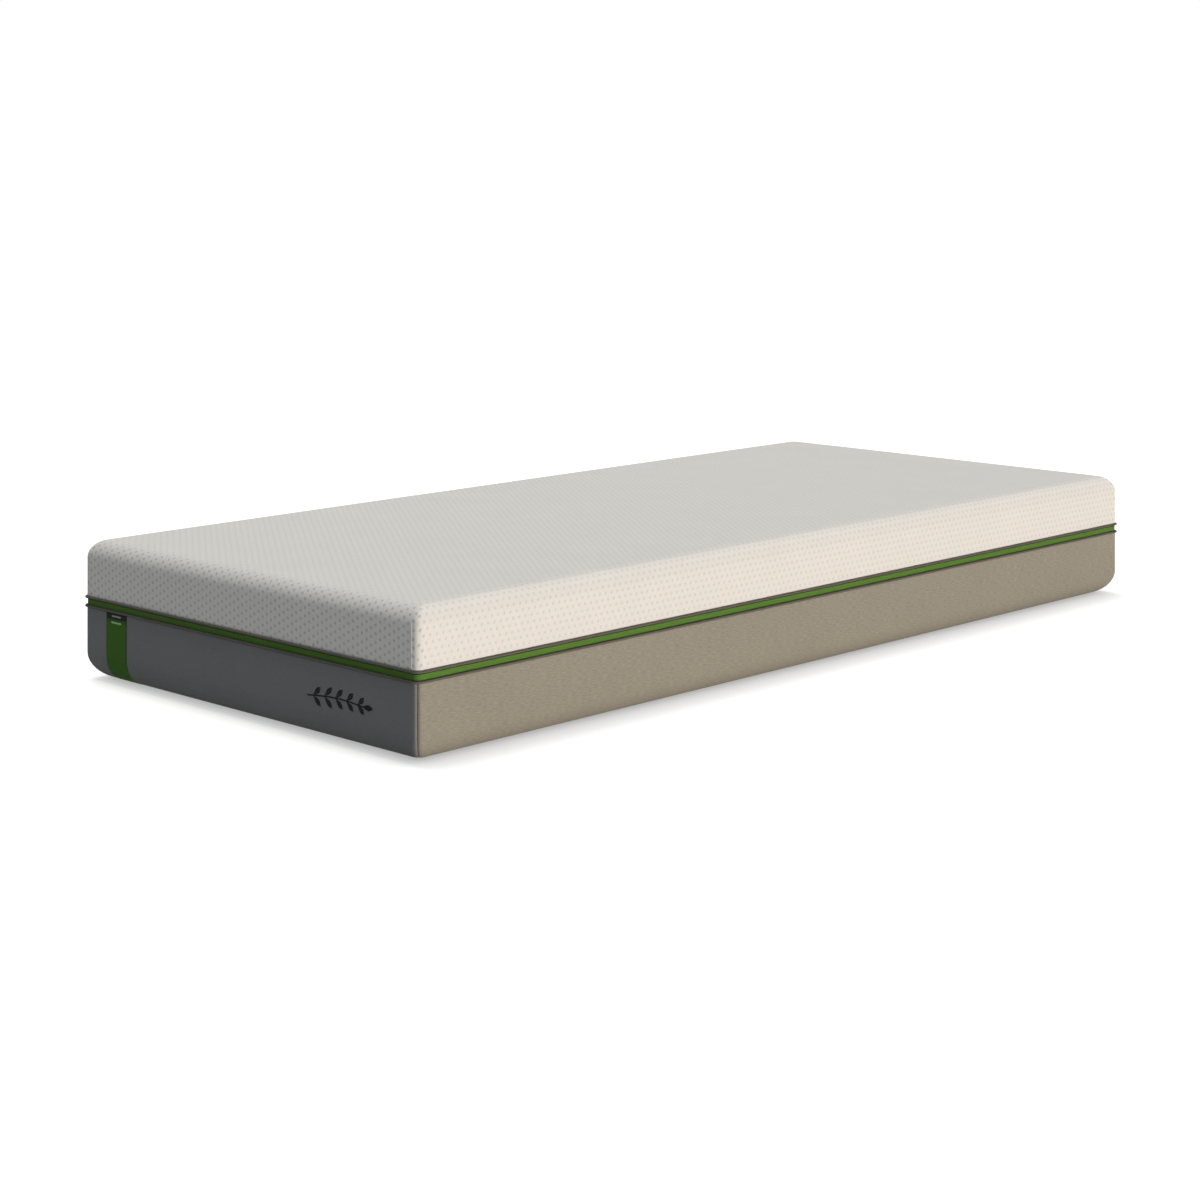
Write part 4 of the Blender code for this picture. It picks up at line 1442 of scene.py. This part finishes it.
def buildRails():
    low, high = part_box("left_edge_rail")
    inner = coreInset + foamSettings["railWidth"]
    edge = foamSettings["edge"]
    outer = coreRings(low.z, high.z)
    inside = [(inner - edge, high.z), (inner, high.z - edge), (inner, (low.z + high.z) / 2)]
    inside += [(inner, low.z + edge), (inner - edge, low.z)]
    rings = outer + [(*place, foamSettings["railEdge"]) for place in inside] + outer[:1]
    for side, name in enumerate(sideNames):
        bm = bmesh.new()
        columns = columnsOf(side, foamSettings["spacing"], foamSettings["crowd"])
        columns[0] += foamSettings["railGap"]
        columns[-1] -= foamSettings["railGap"]
        wrapSide(bm, side, columns, rings)
        bmesh.ops.remove_doubles(bm, verts=bm.verts[:], dist=weld)
        closeHoles(bm)
        bmesh.ops.recalc_face_normals(bm, faces=bm.faces[:])
        rail = makePiece(
            name + "_rail_foam", bm, "mattress_body", ["railFoamCells"],
            [name + "_edge_rail"],
        )


buildFoams()
buildRails()
print("foams made")


# Pocket springs: strings of fleece pockets, welded between each two, and the felt over and under them

springSettings = {
    "strings": 12,
    "pockets": 29,
    "perPocket": 8,
    "section": 20,
    "weld": 0.45,            # share of a pocket's width left at the weld
    "endDrop": 0.006,
    "power": 0.28,           # how square a pocket is in section
}


def buildString(number):
    node = f"spring_string_{number:02d}"
    low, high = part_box(node)
    middle, half = (low + high) / 2, (high - low) / 2
    s = springSettings
    count = s["pockets"] * s["perPocket"] + 1
    around = s["section"] + 1
    bm = bmesh.new()

    def place(column, row):
        share = (column % s["perPocket"]) / s["perPocket"] * 2 - 1
        belly = math.sqrt(max(1 - share ** 2, 0)) ** 0.7
        wide = half.y * (s["weld"] + (1 - s["weld"]) * belly)
        tall = half.z - s["endDrop"] * (1 - belly)
        turn = -2 * math.pi * row / s["section"]
        across = math.copysign(abs(math.cos(turn)) ** s["power"], math.cos(turn))
        up = math.copysign(abs(math.sin(turn)) ** s["power"], math.sin(turn))
        x = low.x + 2 * half.x * column / (count - 1)
        return Vector((x, middle.y + wide * across, middle.z + tall * up))

    bendGrid(bm, count, around, place, lambda column, row: (column * 0.008, row * 0.02))
    bmesh.ops.remove_doubles(bm, verts=bm.verts[:], dist=weld)
    closeHoles(bm)
    bmesh.ops.recalc_face_normals(bm, faces=bm.faces[:])
    name = f"pocket_string_{number:02d}"
    makePiece(name, bm, "mattress_body", ["pocketFleece"], [node])


def buildScrims():
    for node, name in (("lower_scrim", "lower_felt_sheet"), ("upper_scrim", "upper_felt_sheet")):
        low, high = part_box(node)
        bm = bmesh.new()

        def place(column, row):
            x = low.x + (high.x - low.x) * column / 60
            y = low.y + (high.y - low.y) * row / 26
            return Vector((x, y, high.z - abs(softWaver(Vector((x, y, 0)), 0.0002, 14.0))))

        bendGrid(bm, 61, 27, place, lambda column, row: place(column, row).xy)
        thickness = (high.z - low.z) * 0.7
        makePiece(name, bm, "mattress_body", ["scrimFelt"], [node], thickness)


for stringNumber in range(springSettings["strings"]):
    buildString(stringNumber + 1)
buildScrims()
print("springs made")


# Floor, light and camera

floorSettings = {
    "size": 14.0,
    "drop": 0.0006,
    "colour": 0.45,
    "glow": 0.90,
    # glow left in the painted contact shadow right beside the mattress
    "shadowGlow": 0.385,
    "shadeReach": 0.115,
}
floorMesh = bpy.data.meshes.new("studio_floor")
bm = bmesh.new()
floorPlace = Matrix.Translation((0, 0, -floorSettings["drop"]))
bmesh.ops.create_grid(bm, x_segments=2, y_segments=2, size=floorSettings["size"], matrix=floorPlace)
bm.to_mesh(floorMesh)
bm.free()
floor = bpy.data.objects.new("studio_floor", floorMesh)
bpy.context.scene.collection.objects.link(floor)
floorMaterial = bpy.data.materials.new("paleFloor")
floorMaterial.use_nodes = True
floorTree = floorMaterial.node_tree
floorShader = floorTree.nodes["Principled BSDF"]
floorShader.inputs["Base Color"].default_value = grey(floorSettings["colour"])
floorShader.inputs["Roughness"].default_value = 1.0
floorShader.inputs["Specular IOR Level"].default_value = 0.0
floorShader.inputs["Emission Strength"].default_value = 1.0
# the white sweep's glow, which lights nothing itself; an ambient occlusion mask dims it close to the
# mattress, a painted contact shadow
reach = {"Distance": floorSettings["shadeReach"]}
openness = addNode(floorTree, "ShaderNodeAmbientOcclusion", reach, samples=8)
paintedShadowGlow, farGlow = grey(floorSettings["shadowGlow"]), grey(floorSettings["glow"])
glow = blendColours(floorTree, openness.outputs["AO"], paintedShadowGlow, farGlow)
seenFloor = addNode(floorTree, "ShaderNodeLightPath").outputs["Is Camera Ray"]
shown = blendColours(floorTree, seenFloor, grey(0.0), glow)
floorTree.links.new(shown, floorShader.inputs["Emission Color"])
floorMesh.materials.append(floorMaterial)
floor.visible_glossy = False
floor.visible_shadow = False

studio = {
    "ambient": (0.868, 0.965, 1.0),
    "ambientStrength": 0.276,
    "keyFrom": (0.20, -1.0, -0.19),
    "keyStrength": 2.78,
    "keyColour": (1.0, 0.878, 0.762),
    "keySoftness": 24,
    "topFrom": (0.05, 0.27, 1.0),
    "topStrength": 2.14,
    "topColour": (1.0, 0.937, 0.877),
    "topSoftness": 30,
}
world = bpy.data.worlds.new("studio")
bpy.context.scene.world = world
world.use_nodes = True
worldTree = world.node_tree
worldTree.nodes.clear()
ambient = addNode(
    worldTree, "ShaderNodeBackground", {0: (*studio["ambient"], 1.0), 1: studio["ambientStrength"]}
)
backdrop = addNode(worldTree, "ShaderNodeBackground", {0: (1.0, 1.0, 1.0, 1.0), 1: 1.0})
seen = addNode(worldTree, "ShaderNodeLightPath")
mixed = addNode(
    worldTree, "ShaderNodeMixShader",
    {0: seen.outputs["Is Camera Ray"], 1: ambient.outputs[0], 2: backdrop.outputs[0]},
)
addNode(worldTree, "ShaderNodeOutputWorld", {0: mixed.outputs[0]})


def addLight(name):
    light = bpy.data.lights.new(name + "Light", "SUN")
    light.energy = studio[name + "Strength"]
    light.color = studio[name + "Colour"]
    light.angle = math.radians(studio[name + "Softness"])
    lamp = bpy.data.objects.new(name + "Light", light)
    direction = Vector(studio[name + "From"])
    lamp.location = direction.normalized() * 4.0
    lamp.rotation_euler = direction.to_track_quat("Z", "Y").to_euler()
    bpy.context.scene.collection.objects.link(lamp)


addLight("key")
addLight("top")

# a level camera whose lens is shifted down, so that upright edges stay upright
view = {"place": (-3.5138, -3.2739, 0.9848), "heading": 0.7684, "lens": 73.02, "shift": -0.3899}
lens = bpy.data.cameras.new("view")
lens.lens = view["lens"]
lens.sensor_width = 36.0
lens.shift_y = view["shift"]
camera = bpy.data.objects.new("view", lens)
camera.location = view["place"]
camera.rotation_euler = (math.pi / 2, 0, view["heading"] - math.pi / 2)
bpy.context.scene.collection.objects.link(camera)
bpy.context.scene.camera = camera
bpy.context.scene.view_settings.view_transform = "Standard"

print("scene ready")
